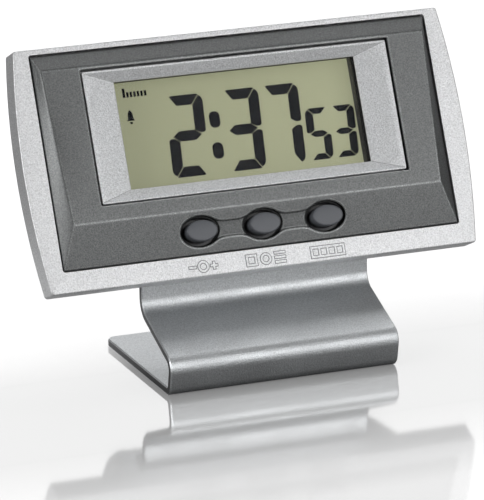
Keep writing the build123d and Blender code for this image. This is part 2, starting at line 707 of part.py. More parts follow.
def cross_screw(x, y, seat, shank_radius, length, head_radius, head_height):
    """Pan-head screw driven in from behind, with a cross recess in its head."""
    head = rod(x, y, seat - head_height, seat, head_radius)
    rim = head.faces().sort_by(Axis.Z)[0].edges()
    body = fillet(rim, head_height * SCREW_HEAD_ROUND) + rod(x, y, seat, seat + length, shank_radius)
    reach = head_radius * SCREW_SLOT_REACH
    depth = head_height * SCREW_SLOT_DEPTH
    for turned in (0, 90):
        recess = Box(2 * reach, SCREW_SLOT, depth, align=(Align.CENTER, Align.CENTER, Align.MIN))
        body -= Pos(x, y, seat - head_height) * Rot(0, 0, turned) * recess
    return body


def board_screws():
    length = BOARD_THICKNESS + BOARD_SCREW_BITE - SCREW_TIP_ROOM
    return Compound([
        cross_screw(
            x, y, BOARD_BACK, BOARD_SCREW_RADIUS, length, BOARD_SCREW_HEAD, BOARD_SCREW_HEAD_HEIGHT
        )
        for x, y in board_screw_places()
    ])


def case_screws():
    return Compound([
        cross_screw(
            x, CASE_SCREW_Y, HEAD_SEAT, CASE_SCREW_RADIUS, CASE_SCREW_LENGTH,
            CASE_SCREW_HEAD, CASE_SCREW_HEAD_HEIGHT,
        )
        for x in mirrored_x(CASE_SCREW_X)
    ])


def key_cap(x):
    """Oval key: a rounded cap through the bezel, a flange behind it and an offset stem."""
    cap = oval(x, KEY_ROW_Y, KEY_FLANGE_FRONT, KEY_PROUD, KEY_HALF_WIDTH, KEY_HALF_HEIGHT)
    cap = fillet(cap.faces().sort_by(Axis.Z)[-1].edges(), KEY_EDGE)
    cap += oval(
        x, KEY_ROW_Y, KEY_FLANGE_BACK, KEY_FLANGE_FRONT,
        KEY_HALF_WIDTH + KEY_FLANGE, KEY_HALF_HEIGHT + KEY_FLANGE,
    )
    return cap + rod(x, STEM_Y, DOME_TOP, KEY_FLANGE_BACK, STEM_RADIUS)


def key_dome(x):
    """Rubber dome between the stem and the board: it buckles when the key is pressed."""
    outer = Pos(x, STEM_Y, BOARD_FRONT + DOME_HEIGHT / 2) * Cone(DOME_RADIUS, DOME_TOP_RADIUS, DOME_HEIGHT)
    inner_height = DOME_HEIGHT - DOME_WALL
    inner = Pos(x, STEM_Y, BOARD_FRONT + inner_height / 2) * Cone(
        DOME_RADIUS - DOME_WALL, DOME_TOP_RADIUS - DOME_WALL, inner_height
    )
    pill_front = BOARD_FRONT + KEY_TRAVEL + PILL_GAP
    pill = rod(x, STEM_Y, pill_front, DOME_TOP - DOME_WALL, DOME_TOP_RADIUS - DOME_WALL)
    return (outer - inner) + pill


def housing_half_width(z, wall=0.0):
    """Half the width of the housing at depth z, less a wall measured square to its side."""
    slope = radians(SIDE_DRAFT)
    return HOUSING_WIDTH / 2 + (z + FRAME_DEPTH) * tan(slope) - wall / cos(slope)


def housing_top(z, wall=0.0):
    slope = radians(TOP_DRAFT)
    return HOUSING_TOP + (z + FRAME_DEPTH) * tan(slope) - wall / cos(slope)


def housing_block(z_front, z_back, wall, back_edge):
    """Tapered block: slanting sides and top, a flat underside, a rounded back edge."""
    sections = [
        Pos(0, 0, z) * rectangle(
            2 * housing_half_width(z, wall), HOUSING_BOTTOM + wall, housing_top(z, wall),
            HOUSING_CORNER - wall,
        )
        for z in (z_back, z_front)
    ]
    body = loft(sections, ruled=True)
    return fillet(body.faces().sort_by(Axis.Z)[0].edges(), back_edge)


def hinge_axis_rod(half_length, radius):
    """Bar along the hinge axis, in the head frame."""
    return Pos(0, HINGE.Y, HINGE.Z) * Rot(0, 90, 0) * Cylinder(radius, 2 * half_length)


def hinge_block():
    """Solid body round the hinge recess, with the two ribs that hold the pin."""
    half = RECESS_HALF + RIB_THICKNESS
    return block(
        -half, half, HOUSING_BOTTOM, HINGE.Y + RECESS_RADIUS + RECESS_WALL,
        HINGE.Z - RECESS_RADIUS - RECESS_WALL, -FRAME_DEPTH,
    )


def hinge_recess():
    """Round-topped recess, open below, that the rolled edge of the stand turns in."""
    hollow = hinge_axis_rod(RECESS_HALF, RECESS_RADIUS)
    return hollow + block(
        -RECESS_HALF, RECESS_HALF, HOUSING_BOTTOM - 2, HINGE.Y,
        HINGE.Z - RECESS_RADIUS, HINGE.Z + RECESS_RADIUS,
    )


def wedge(x, y, z0, z1, radius, start, angle):
    """Pie-shaped sector about a z axis."""
    return Pos(x, y, z0) * Rot(0, 0, start) * Cylinder(
        radius, z1 - z0, arc_size=angle, align=(Align.CENTER, Align.CENTER, Align.MIN)
    )


def battery_hollow():
    """Everything cut for the cell: its bore, the bayonet groove, the rim hole and two entries."""
    hollow = rod(BATTERY_X, BATTERY_Y, CAP_RIM_BACK, CUP_FRONT + 1, CUP_RADIUS)
    groove_front = CAP_RIM_BACK + CAP_LUG_THICKNESS + 2 * CAP_GROOVE_CLEARANCE
    hollow += rod(BATTERY_X, BATTERY_Y, CAP_RIM_BACK, groove_front, GROOVE_RADIUS)
    hollow += rod(BATTERY_X, BATTERY_Y, HOUSING_BACK - 1, CAP_RIM_BACK, CAP_RADIUS + CAP_CLEARANCE)
    for opposite in (0, 180):
        start = opposite + CAP_TURN - CAP_LUG_ANGLE / 2 - CAP_ENTRY_MARGIN
        hollow += wedge(
            BATTERY_X, BATTERY_Y, HOUSING_BACK - 1, CAP_RIM_BACK, GROOVE_RADIUS, start,
            CAP_LUG_ANGLE + 2 * CAP_ENTRY_MARGIN,
        )
    half = CONTACT_WIDTH / 2 + CONTACT_CLEARANCE
    hollow += block(
        BATTERY_X - CUP_RADIUS - CONTACT_CLEARANCE, BATTERY_X - CELL_RADIUS,
        BATTERY_Y - half, BATTERY_Y + half, CONTACT_END - CONTACT_CLEARANCE, CUP_FRONT + 1,
    )
    return hollow


def screw_head_cut(x):
    """Counterbore for a case screw's head, and the shank's clearance hole."""
    cut = rod(x, CASE_SCREW_Y, HOUSING_BACK - 1, HEAD_SEAT, CASE_SCREW_HEAD + SCREW_HEAD_CLEARANCE)
    return cut + rod(x, CASE_SCREW_Y, HEAD_SEAT, BOARD_BACK + 1, CASE_SCREW_RADIUS + SCREW_CLEARANCE)


def sound_holes():
    """A ring of holes round one, through the back over the buzzer."""
    holes = rod(BUZZER_X, BUZZER_Y, HOUSING_BACK - 1, HOUSING_INNER + 1, SOUND_HOLE_RADIUS)
    for index in range(SOUND_HOLE_COUNT):
        turned = radians(360 / SOUND_HOLE_COUNT * index)
        x = BUZZER_X + SOUND_HOLE_PITCH * cos(turned)
        y = BUZZER_Y + SOUND_HOLE_PITCH * sin(turned)
        holes += rod(x, y, HOUSING_BACK - 1, HOUSING_INNER + 1, SOUND_HOLE_RADIUS)
    return holes


def locating_lip():
    """Low wall that drops into the web's opening, with two hooks over its top edge."""
    gap = LIP_CLEARANCE
    width = WEB_OPENING_WIDTH - 2 * gap
    inner = LIP_WALL
    back = -FRAME_DEPTH - LIP_ROOT
    front = -FRAME_DEPTH + LIP_DEPTH
    bottom = HINGE.Y + RECESS_RADIUS + RECESS_WALL
    top = WEB_OPENING_TOP - gap
    lip = slab(width, bottom, top, back, front, WEB_OPENING_CORNER)
    lip -= slab(width - 2 * inner, bottom - 1, top - inner, back - 1, front + 1, WEB_OPENING_CORNER - inner)
    hook_back = WEB_FRONT + gap
    hook_front = hook_back + HOOK_THICKNESS
    for x in mirrored_x(HOOK_X):
        left = x - HOOK_WIDTH / 2
        right = x + HOOK_WIDTH / 2
        lip += block(left, right, top - LIP_WALL, top, -FRAME_DEPTH, hook_front)
        lip += block(left, right, top - LIP_WALL, top + HOOK_RISE, hook_back, hook_front)
    return lip


def rear_housing():
    """Silver rear shell: walls, hinge block, battery cup, screw tubes, buzzer seat and hooks."""
    outer = housing_block(-FRAME_DEPTH, HOUSING_BACK, 0, HOUSING_BACK_EDGE)
    foot = slab(
        HOUSING_WIDTH + 2 * HOUSING_FOOT, HOUSING_BOTTOM, HOUSING_TOP + HOUSING_FOOT,
        -FRAME_DEPTH - HOUSING_FOOT_THICKNESS, -FRAME_DEPTH, HOUSING_CORNER,
    )
    outer += fillet(foot.faces().sort_by(Axis.Z)[0].edges(), HOUSING_FOOT_ROUND)
    inner = housing_block(-FRAME_DEPTH + 1, HOUSING_INNER, HOUSING_WALL, HOUSING_BACK_EDGE - HOUSING_WALL)
    body = outer - inner
    features = hinge_block()
    shoulder_front = CAP_RIM_BACK + CUP_SHOULDER_DEPTH
    features += rod(BATTERY_X, BATTERY_Y, HOUSING_BACK, shoulder_front, GROOVE_RADIUS + CUP_SHOULDER_WALL)
    features += rod(BATTERY_X, BATTERY_Y, HOUSING_BACK, CUP_FRONT, CUP_RADIUS + CUP_WALL)
    seat = rod(BUZZER_X, BUZZER_Y, HOUSING_INNER - 0.5, BUZZER_BACK, BUZZER_RADIUS + BUZZER_SEAT_MARGIN)
    features += seat - rod(
        BUZZER_X, BUZZER_Y, HOUSING_INNER - 0.5, BUZZER_BACK + 1, BUZZER_RADIUS - BUZZER_SEAT_WALL
    )
    for x in mirrored_x(CASE_SCREW_X):
        tube_radius = CASE_SCREW_HEAD + SCREW_HEAD_CLEARANCE + TUBE_WALL
        features += rod(x, CASE_SCREW_Y, HOUSING_BACK, BOARD_BACK, tube_radius)
    for x in mirrored_x(SUPPORT_X):
        features += rod(x, SUPPORT_Y, HOUSING_BACK + 0.5, BOARD_BACK, SUPPORT_RADIUS)
    body += features & outer
    body += locating_lip()
    body -= hinge_recess()
    body -= hinge_axis_rod(RECESS_HALF + RIB_THICKNESS + 1, PIN_RADIUS + PIN_FIT)
    body -= battery_hollow()
    for x in mirrored_x(CASE_SCREW_X):
        body -= screw_head_cut(x)
    return body - sound_holes()


def battery_cap():
    """Coin-turned cap: a flush disc with two bayonet lugs under the housing's rim."""
    disc = rod(BATTERY_X, BATTERY_Y, HOUSING_BACK, HOUSING_BACK + CAP_THICKNESS, CAP_RADIUS)
    disc = chamfer(disc.faces().sort_by(Axis.Z)[0].edges(), CAP_EDGE)
    lug_back = CAP_RIM_BACK + CAP_GROOVE_CLEARANCE
    for opposite in (0, 180):
        lug = wedge(
            BATTERY_X, BATTERY_Y, lug_back, lug_back + CAP_LUG_THICKNESS,
            CAP_RADIUS + CAP_LUG, opposite - CAP_LUG_ANGLE / 2, CAP_LUG_ANGLE,
        )
        disc += lug
    slot = SlotOverall(COIN_SLOT_LENGTH, COIN_SLOT_WIDTH)
    disc -= Pos(BATTERY_X, BATTERY_Y, HOUSING_BACK) * extrude(slot, COIN_SLOT_DEPTH)
    return disc


def button_cell():
    """Alkaline button cell with its stepped negative face towards the board."""
    can = rod(BATTERY_X, BATTERY_Y, CELL_BACK, CELL_FRONT - CELL_CAP_STEP, CELL_RADIUS)
    can = fillet(can.faces().sort_by(Axis.Z)[0].edges(), CELL_EDGE)
    return can + rod(BATTERY_X, BATTERY_Y, CELL_FRONT - CELL_CAP_STEP, CELL_FRONT, CELL_CAP_RADIUS)


def positive_contact():
    """Strip soldered to the board that runs down the side of the cell."""
    outer = BATTERY_X - CELL_RADIUS - CONTACT_THICKNESS
    half = CONTACT_WIDTH / 2
    strip = block(
        outer, outer + CONTACT_THICKNESS, BATTERY_Y - half, BATTERY_Y + half, CONTACT_END, BOARD_BACK
    )
    foot = block(
        outer - CONTACT_FOOT, outer + CONTACT_THICKNESS, BATTERY_Y - half, BATTERY_Y + half,
        BOARD_BACK - CONTACT_THICKNESS, BOARD_BACK,
    )
    return strip + foot


def negative_contact():
    """Plate on the board with a sprung tongue bent back onto the cell's small face."""
    half = CONTACT_WIDTH / 2
    thickness = CONTACT_THICKNESS
    root = BATTERY_X - TONGUE_ROOT
    tip = BATTERY_X + TONGUE_TIP
    bend = tip - TONGUE_BEND
    profile = make_face(Polyline(
        (root - CONTACT_FOOT, BOARD_BACK), (root, BOARD_BACK), (bend, CELL_FRONT + thickness),
        (tip, CELL_FRONT + thickness), (tip, CELL_FRONT), (bend - thickness / 2, CELL_FRONT),
        (root - thickness / 2, BOARD_BACK - thickness), (root - CONTACT_FOOT, BOARD_BACK - thickness),
        close=True,
    ))
    upright = Plane(origin=(0, BATTERY_Y, 0), x_dir=(1, 0, 0), z_dir=(0, -1, 0))
    return extrude(upright * profile, half, both=True)


def buzzer_plate():
    """Brass disc of the buzzer, glued on its seat in the housing."""
    return rod(BUZZER_X, BUZZER_Y, BUZZER_BACK, BUZZER_BACK + BUZZER_PLATE_THICKNESS, BUZZER_RADIUS)


def buzzer_ceramic():
    """Ceramic disc bonded on the brass."""
    back = BUZZER_BACK + BUZZER_PLATE_THICKNESS
    return rod(BUZZER_X, BUZZER_Y, back, back + CERAMIC_THICKNESS, CERAMIC_RADIUS)


def contact_spring(x, seat):
    """Coil spring that carries current from the board to the buzzer."""
    bottom = seat + SPRING_WIRE
    top = BOARD_BACK - SPRING_WIRE
    path = Helix(SPRING_PITCH, top - bottom, SPRING_RADIUS, center=(x, BUZZER_Y, bottom))
    section = Plane(origin=path @ 0, z_dir=path % 0) * Circle(SPRING_WIRE)
    return sweep(section, path=path, is_frenet=True)


def buzzer_springs():
    brass_face = BUZZER_BACK + BUZZER_PLATE_THICKNESS
    ceramic_face = brass_face + CERAMIC_THICKNESS
    return Compound([
        contact_spring(BUZZER_X, ceramic_face),
        contact_spring(BUZZER_X + (BUZZER_RADIUS + CERAMIC_RADIUS) / 2, brass_face),
    ])


def hinge_pin():
    """Steel pin held in the two ribs of the housing."""
    pin = hinge_axis_rod(RECESS_HALF + RIB_THICKNESS, PIN_RADIUS)
    return chamfer(pin.edges().filter_by(GeomType.CIRCLE), PIN_CHAMFER)


def friction_washers():
    """Two wave washers that brake the tilt, between the rolled edge and the ribs."""
    washers = []
    for side in (-1, 1):
        middle = side * (STAND_WIDTH / 2 + WASHER_CLEARANCE + WASHER_THICKNESS / 2)
        bore = Cylinder(PIN_RADIUS + PIN_CLEARANCE, WASHER_THICKNESS)
        disc = Cylinder(WASHER_RADIUS, WASHER_THICKNESS) - bore
        washers.append(Pos(middle, HINGE.Y, HINGE.Z) * Rot(0, 90, 0) * disc)
    return Compound(washers)


def crossing(first, second):
    """Point where two lines meet, each a point and an angle from level in degrees."""
    (x1, y1), a1 = first
    (x2, y2), a2 = second
    c1, s1 = cos(radians(a1)), sin(radians(a1))
    c2, s2 = cos(radians(a2)), sin(radians(a2))
    along = ((x2 - x1) * s2 - (y2 - y1) * c2) / (c1 * s2 - s1 * c2)
    return (x1 + along * c1, y1 + along * s1)


def shifted(line, distance):
    """The same line moved square to itself, to its right hand side."""
    (x, y), angle = line
    return (x + distance * sin(radians(angle)), y - distance * cos(radians(angle))), angle


def sheet_side(offset):
    """One side of the bent sheet from the foot's rear edge to the hinge: 0 is the outside."""
    rear = FOOT_LENGTH / 2
    foot = ((rear, 0), 180)
    nose = ((-rear - NOSE_OVERHANG, TOE_RADIUS), 90 + NOSE_LEAN)
    ramp = ((FLANGE_FRONT_Y, RAMP_TOP), RAMP_ANGLE)
    flange = ((FLANGE_FRONT_Y, HINGE_HEIGHT), 90)
    lines = [shifted(line, offset) for line in (foot, nose, ramp, flange)]
    points = [(rear, offset)]
    points += [crossing(lines[index], lines[index + 1]) for index in range(3)]
    points.append((FLANGE_FRONT_Y + offset, HINGE_HEIGHT))
    radii = [TOE_RADIUS - offset, NOSE_RADIUS - offset, RAMP_BEND_RADIUS + offset]
    return points, radii


def stand():
    """Bent sheet stand: foot, rounded nose, ramp and upright flange, rolled round the hinge pin."""
    outside, outside_radii = sheet_side(0)
    inside, inside_radii = sheet_side(SHEET)
    outer_line = FilletPolyline(*outside, radius=outside_radii)
    inner_line = FilletPolyline(*inside, radius=inside_radii)
    closing = [Line(outside[0], inside[0]), Line(outside[-1], inside[-1])]
    profile = make_face(outer_line.edges() + inner_line.edges() + closing)
    ring = Pos(HINGE_Y, HINGE_HEIGHT) * (Circle(CURL_OUTER) - Circle(CURL_INNER))
    below = Pos(HINGE_Y - CURL_INNER, HINGE_HEIGHT - CURL_OUTER) * Rectangle(
        CURL_INNER, CURL_OUTER, align=Align.MIN
    )
    front = Pos(HINGE_Y - CURL_OUTER, HINGE_HEIGHT - CURL_OUTER) * Rectangle(
        SHEET, CURL_OUTER, align=Align.MIN
    )
    profile = profile + (ring - below - front)
    body = extrude(Plane.YZ * profile, STAND_WIDTH / 2, both=True)
    rear_edges = body.edges().filter_by(Axis.Z).group_by(Axis.Y)[-1]
    body = fillet(rear_edges, FOOT_CORNER)
    sides = body.faces().filter_by(Axis.X)
    return chamfer(sides.edges(), SHEET_EASE)


def main():
    head_parts = {
        "front_frame": front_frame(),
        "dark_bezel": dark_bezel(),
        "lcd_bezel": lcd_bezel(),
        "window_lens": window_lens(),
        "lcd_holder": lcd_holder(),
        "lcd_front_polarizer": lcd_front_polarizer(),
        "lcd_front_glass": lcd_front_glass(),
        "lcd_edge_seal": lcd_edge_seal(),
        "lcd_segments": lcd_segments(),
        "lcd_rear_glass": lcd_rear_glass(),
        "lcd_reflector": lcd_reflector(),
        "zebra_strip": zebra_strip(),
        "circuit_board": circuit_board(),
        "chip_blob": chip_blob(),
        "quartz_crystal": quartz_crystal(),
        "capacitors": chip_parts(CAPACITOR_PLACES, CAPACITOR_HEIGHT),
        "resistors": chip_parts(RESISTOR_PLACES, RESISTOR_HEIGHT),
        "board_screws": board_screws(),
        "rear_housing": rear_housing(),
        "case_screws": case_screws(),
        "battery_cap": battery_cap(),
        "button_cell": button_cell(),
        "positive_contact": positive_contact(),
        "negative_contact": negative_contact(),
        "buzzer_plate": buzzer_plate(),
        "buzzer_ceramic": buzzer_ceramic(),
        "buzzer_springs": buzzer_springs(),
        "hinge_pin": hinge_pin(),
        "friction_washers": friction_washers(),
    }
    for name, x in zip(KEY_NAMES, key_places()):
        head_parts[name + "_button"] = key_cap(x)
        head_parts[name + "_dome"] = key_dome(x)
    os.makedirs("parts", exist_ok=True)
    for name, shape in head_parts.items():
        export_step(HEAD.location * shape, f"parts/{name}.step")
    export_step(stand(), "parts/stand.step")


main()
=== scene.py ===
import math

import bmesh
import bpy
from mathutils import Matrix, Vector


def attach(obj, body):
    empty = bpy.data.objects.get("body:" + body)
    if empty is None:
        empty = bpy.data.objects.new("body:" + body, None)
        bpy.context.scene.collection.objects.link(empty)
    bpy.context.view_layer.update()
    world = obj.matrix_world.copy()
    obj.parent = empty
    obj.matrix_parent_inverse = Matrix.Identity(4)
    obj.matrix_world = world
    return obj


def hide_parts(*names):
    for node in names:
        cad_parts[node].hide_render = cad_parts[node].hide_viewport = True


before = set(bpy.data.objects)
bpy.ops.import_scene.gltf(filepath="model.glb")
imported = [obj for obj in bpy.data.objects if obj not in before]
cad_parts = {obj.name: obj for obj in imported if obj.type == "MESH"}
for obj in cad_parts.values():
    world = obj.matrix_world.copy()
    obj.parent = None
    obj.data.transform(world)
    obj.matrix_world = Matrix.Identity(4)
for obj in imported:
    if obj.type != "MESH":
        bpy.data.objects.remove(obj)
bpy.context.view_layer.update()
scene = bpy.context.scene

# Stand.
# One strip of metal sheet, bent to a foot, a round nose, a ramp and a flange that is rolled
# round the hinge pin. Its faces have a satin finish; its sheared edges are dull.


def add(tree, kind, values=None, **settings):
    """Shader node with its settings, and its inputs set to numbers or linked to sockets."""
    node = tree.nodes.new(kind)
    for name, value in settings.items():
        setattr(node, name, value)
    for key, value in (values or {}).items():
        if isinstance(value, bpy.types.NodeSocket):
            tree.links.new(value, node.inputs[key])
        else:
            node.inputs[key].default_value = value
    return node


def new_group(name, inputs, outputs):
    """Empty shader node group; inputs are (name, type, default), outputs (name, type)."""
    group = bpy.data.node_groups.new(name, "ShaderNodeTree")
    for label, kind, default in inputs:
        socket = group.interface.new_socket(label, in_out="INPUT", socket_type=kind)
        socket.default_value = default
    for label, kind in outputs:
        group.interface.new_socket(label, in_out="OUTPUT", socket_type=kind)
    entry = group.nodes.new("NodeGroupInput").outputs
    finish = group.nodes.new("NodeGroupOutput")
    return group, entry, finish


def grain_group():
    """Metal flakes in paint: a speckled shade and a slightly rough normal."""
    group, entry, finish = new_group(
        "flake_grain",
        [("Scale", "NodeSocketFloat", 9000.0), ("Contrast", "NodeSocketFloat", 0.2),
         ("Height", "NodeSocketFloat", 0.1)],
        [("Shade", "NodeSocketFloat"), ("Normal", "NodeSocketVector")],
    )
    place = add(group, "ShaderNodeTexCoord")
    flakes = add(group, "ShaderNodeTexNoise", {
        "Vector": place.outputs["Object"], "Scale": entry["Scale"], "Detail": 2.0, "Roughness": 0.6,
    })
    low = add(group, "ShaderNodeMath", {0: 1.0, 1: entry["Contrast"]}, operation="SUBTRACT")
    high = add(group, "ShaderNodeMath", {0: 1.0, 1: entry["Contrast"]}, operation="ADD")
    shade = add(group, "ShaderNodeMapRange", {
        "Value": flakes.outputs["Fac"], "From Min": 0.25, "From Max": 0.75,
        "To Min": low.outputs[0], "To Max": high.outputs[0],
    })
    bump = add(group, "ShaderNodeBump", {
        "Strength": entry["Height"], "Distance": 0.0001, "Height": flakes.outputs["Fac"],
    })
    group.links.new(shade.outputs["Result"], finish.inputs["Shade"])
    group.links.new(bump.outputs["Normal"], finish.inputs["Normal"])
    return group


def wear_group():
    """Handling: cloudy differences in gloss from wiping, and a trace of dust on faces that look up."""
    group, entry, finish = new_group(
        "handling",
        [("Roughness", "NodeSocketFloat", 0.35), ("Spread", "NodeSocketFloat", 0.05)],
        [("Roughness", "NodeSocketFloat"), ("Dust", "NodeSocketFloat")],
    )
    place = add(group, "ShaderNodeTexCoord")
    clouds = add(group, "ShaderNodeTexNoise", {
        "Vector": place.outputs["Object"], "Scale": 90.0, "Detail": 5.0, "Roughness": 0.65,
    })
    centred = add(group, "ShaderNodeMath", {0: clouds.outputs["Fac"], 1: 0.5}, operation="SUBTRACT")
    rough = add(group, "ShaderNodeMath", {
        0: centred.outputs[0], 1: entry["Spread"], 2: entry["Roughness"],
    }, operation="MULTIPLY_ADD")
    motes = add(group, "ShaderNodeTexNoise", {
        "Vector": place.outputs["Object"], "Scale": 2600.0, "Detail": 3.0,
    })
    specks = add(group, "ShaderNodeMapRange", {
        "Value": motes.outputs["Fac"], "From Min": 0.66, "From Max": 0.72,
    })
    facing = add(group, "ShaderNodeNewGeometry")
    upward = add(group, "ShaderNodeSeparateXYZ", {"Vector": facing.outputs["Normal"]})
    up = add(group, "ShaderNodeMapRange", {
        "Value": upward.outputs["Z"], "From Min": 0.3, "From Max": 1.0,
    })
    dust = add(group, "ShaderNodeMath", {
        0: specks.outputs["Result"], 1: up.outputs["Result"],
    }, operation="MULTIPLY")
    group.links.new(rough.outputs[0], finish.inputs["Roughness"])
    group.links.new(dust.outputs[0], finish.inputs["Dust"])
    return group


def edge_highlight_group():
    """Painted highlight along edges: level ridges that look down and sharp edges that look up."""
    group, entry, finish = new_group(
        "painted_edge_highlights",
        [("Rounded", "NodeSocketVector", (0.0, 0.0, 1.0)),
         ("Normal", "NodeSocketVector", (0.0, 0.0, 1.0)),
         ("Gain", "NodeSocketFloat", 1.0)],
        [("Factor", "NodeSocketFloat")],
    )
    turned = add(group, "ShaderNodeVectorMath", {
        0: entry["Rounded"], 1: entry["Normal"],
    }, operation="DOT_PRODUCT")
    parts = add(group, "ShaderNodeSeparateXYZ", {"Vector": entry["Rounded"]})
    aside = add(group, "ShaderNodeMath", {0: parts.outputs["X"]}, operation="ABSOLUTE")

    def share(value, start, end):
        """Rises from nothing at start to all at end."""
        mask = add(group, "ShaderNodeMapRange", {"Value": value, "From Min": start, "From Max": end})
        return mask.outputs["Result"]

    def product(first, second):
        """What both masks cover."""
        return add(group, "ShaderNodeMath", {0: first, 1: second}, operation="MULTIPLY").outputs[0]

    tilt = parts.outputs["Z"]
    soft = product(share(turned.outputs["Value"], 0.9998, 0.997), share(aside.outputs[0], 0.25, 0.1))
    ridge = product(soft, product(share(tilt, -0.05, 0.2), share(tilt, 0.6, 0.35)))
    lip = product(share(turned.outputs["Value"], 0.95, 0.85), share(tilt, 0.3, 0.65))
    both = add(group, "ShaderNodeMath", {0: ridge, 1: lip}, operation="MAXIMUM")
    factor = add(group, "ShaderNodeMath", {
        0: both.outputs[0], 1: entry["Gain"], 2: 1.0,
    }, operation="MULTIPLY_ADD")
    group.links.new(factor.outputs[0], finish.inputs["Factor"])
    return group


GRAIN = grain_group()
HANDLING = wear_group()
EDGE_HIGHLIGHT = edge_highlight_group()
DUST_COLOUR = (0.6, 0.58, 0.54, 1.0)
COAT_ROUGHNESS = 0.12


def finish_material(name, colour, metallic, roughness, scale=9000.0, contrast=0.1, height=0.1,
                    spread=0.08, coat=0.0, specular=0.5, dust=0.06, edge=0.0, highlight_gain=0.0, shade_reach=0.0):
    """Painted, moulded or metal surface with flakes, uneven gloss and a trace of dust.

    Edges are shaded round to the radius edge and lighter by the highlight gain: painted highlight.
    Gaps narrower than the shade reach are darker: painted shade from ambient occlusion.
    """
    material = bpy.data.materials.new(name)
    material.use_nodes = True
    tree = material.node_tree
    surface = tree.nodes["Principled BSDF"]
    grain = add(tree, "ShaderNodeGroup", node_tree=GRAIN)
    grain.inputs["Scale"].default_value = scale
    grain.inputs["Contrast"].default_value = contrast
    grain.inputs["Height"].default_value = height
    wear = add(tree, "ShaderNodeGroup", node_tree=HANDLING)
    wear.inputs["Roughness"].default_value = roughness
    wear.inputs["Spread"].default_value = spread
    shaded = add(tree, "ShaderNodeVectorMath", {
        0: (colour[0], colour[1], colour[2]), "Scale": grain.outputs["Shade"],
    }, operation="SCALE")
    share = add(tree, "ShaderNodeMath", {0: wear.outputs["Dust"], 1: dust}, operation="MULTIPLY")
    dusted = add(tree, "ShaderNodeMix", {
        0: share.outputs[0], 6: shaded.outputs[0], 7: DUST_COLOUR,
    }, data_type="RGBA")
    paint = dusted.outputs[2]
    slope = grain.outputs["Normal"]
    if edge:
        rounded = add(tree, "ShaderNodeBevel", {"Radius": edge}, samples=6)
        facing = add(tree, "ShaderNodeNewGeometry")
        # Painted highlight: the base colour is made lighter along edges that the lamps would catch.
        edge_highlight = add(tree, "ShaderNodeGroup", {
            "Rounded": rounded.outputs["Normal"], "Normal": facing.outputs["Normal"], "Gain": highlight_gain,
        }, node_tree=EDGE_HIGHLIGHT)
        highlighted_paint = add(tree, "ShaderNodeVectorMath", {
            0: paint, "Scale": edge_highlight.outputs["Factor"],
        }, operation="SCALE")
        paint = highlighted_paint.outputs[0]
        softened = add(tree, "ShaderNodeBevel", {"Radius": edge, "Normal": slope}, samples=6)
        slope = softened.outputs["Normal"]
    if shade_reach:
        # Painted shade: ambient occlusion darkens the base colour in gaps and hollows.
        occlusion = add(tree, "ShaderNodeAmbientOcclusion", {"Distance": shade_reach}, samples=8)
        depth = add(tree, "ShaderNodeMapRange", {
            "Value": occlusion.outputs["AO"], "From Min": 0.3, "From Max": 0.95, "To Min": 0.02,
        })
        shaded_paint = add(tree, "ShaderNodeVectorMath", {
            0: paint, "Scale": depth.outputs["Result"],
        }, operation="SCALE")
        paint = shaded_paint.outputs[0]
    tree.links.new(paint, surface.inputs["Base Color"])
    tree.links.new(wear.outputs["Roughness"], surface.inputs["Roughness"])
    tree.links.new(slope, surface.inputs["Normal"])
    surface.inputs["Metallic"].default_value = metallic
    surface.inputs["Coat Weight"].default_value = coat
    surface.inputs["Coat Roughness"].default_value = COAT_ROUGHNESS
    surface.inputs["Specular IOR Level"].default_value = specular
    return material


def dress(node, material):
    """Gives a CAD node's own object its material."""
    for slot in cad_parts[node].material_slots:
        slot.material = material


JOIN_WITHIN = 0.000002
CREASE_ANGLE = math.radians(14.0)


def smooth_copy(node, material, body):
    """The node's shape with its triangles joined and its curves shaded smooth, in its place."""
    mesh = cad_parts[node].data.copy()
    mesh.name = node + "_shown"
    form = bmesh.new()
    form.from_mesh(mesh)
    bmesh.ops.remove_doubles(form, verts=form.verts, dist=JOIN_WITHIN)
    for face in form.faces:
        face.smooth = True
    for edge in form.edges:
        if len(edge.link_faces) == 2 and edge.calc_face_angle() > CREASE_ANGLE:
            edge.smooth = False
    form.to_mesh(mesh)
    form.free()
    if mesh.has_custom_normals:
        mesh.normals_split_custom_set([(0.0, 0.0, 0.0)] * len(mesh.loops))
    mesh.materials.clear()
    mesh.materials.append(material)
    piece = bpy.data.objects.new(mesh.name, mesh)
    scene.collection.objects.link(piece)
    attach(piece, body)
    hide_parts(node)
    return piece


stand_metal = finish_material(
    "satin_sheet", (0.66, 0.68, 0.695), 0.9, 0.41, scale=3400.0, contrast=0.2, height=0.7, spread=0.3
)
cut_metal = finish_material(
    "sheared_edge", (0.2, 0.2, 0.205), 0.8, 0.5, scale=6000.0, contrast=0.2, height=0.3, spread=0.05
)
SIDEWAYS = 0.9
stand_sheet = smooth_copy("stand", stand_metal, "stand")
stand_sheet.data.materials.append(cut_metal)
for polygon in stand_sheet.data.polygons:
    if abs(polygon.normal.x) > SIDEWAYS:
        polygon.material_index = 1

# Outer frame and rear shell.
# Two mouldings in one light silver paint with fine flakes. The frame carries the bezel; the
# shell hooks into it at the top and is held by two screws from behind.
silver_paint = finish_material(
    "silver_paint", (0.79, 0.795, 0.805), 0.55, 0.38, scale=3300.0, contrast=0.24, height=0.8
)
for name in ("front_frame", "rear_housing"):
    smooth_copy(name, silver_paint, "head")
smooth_copy("battery_cap", silver_paint, "battery_cap")

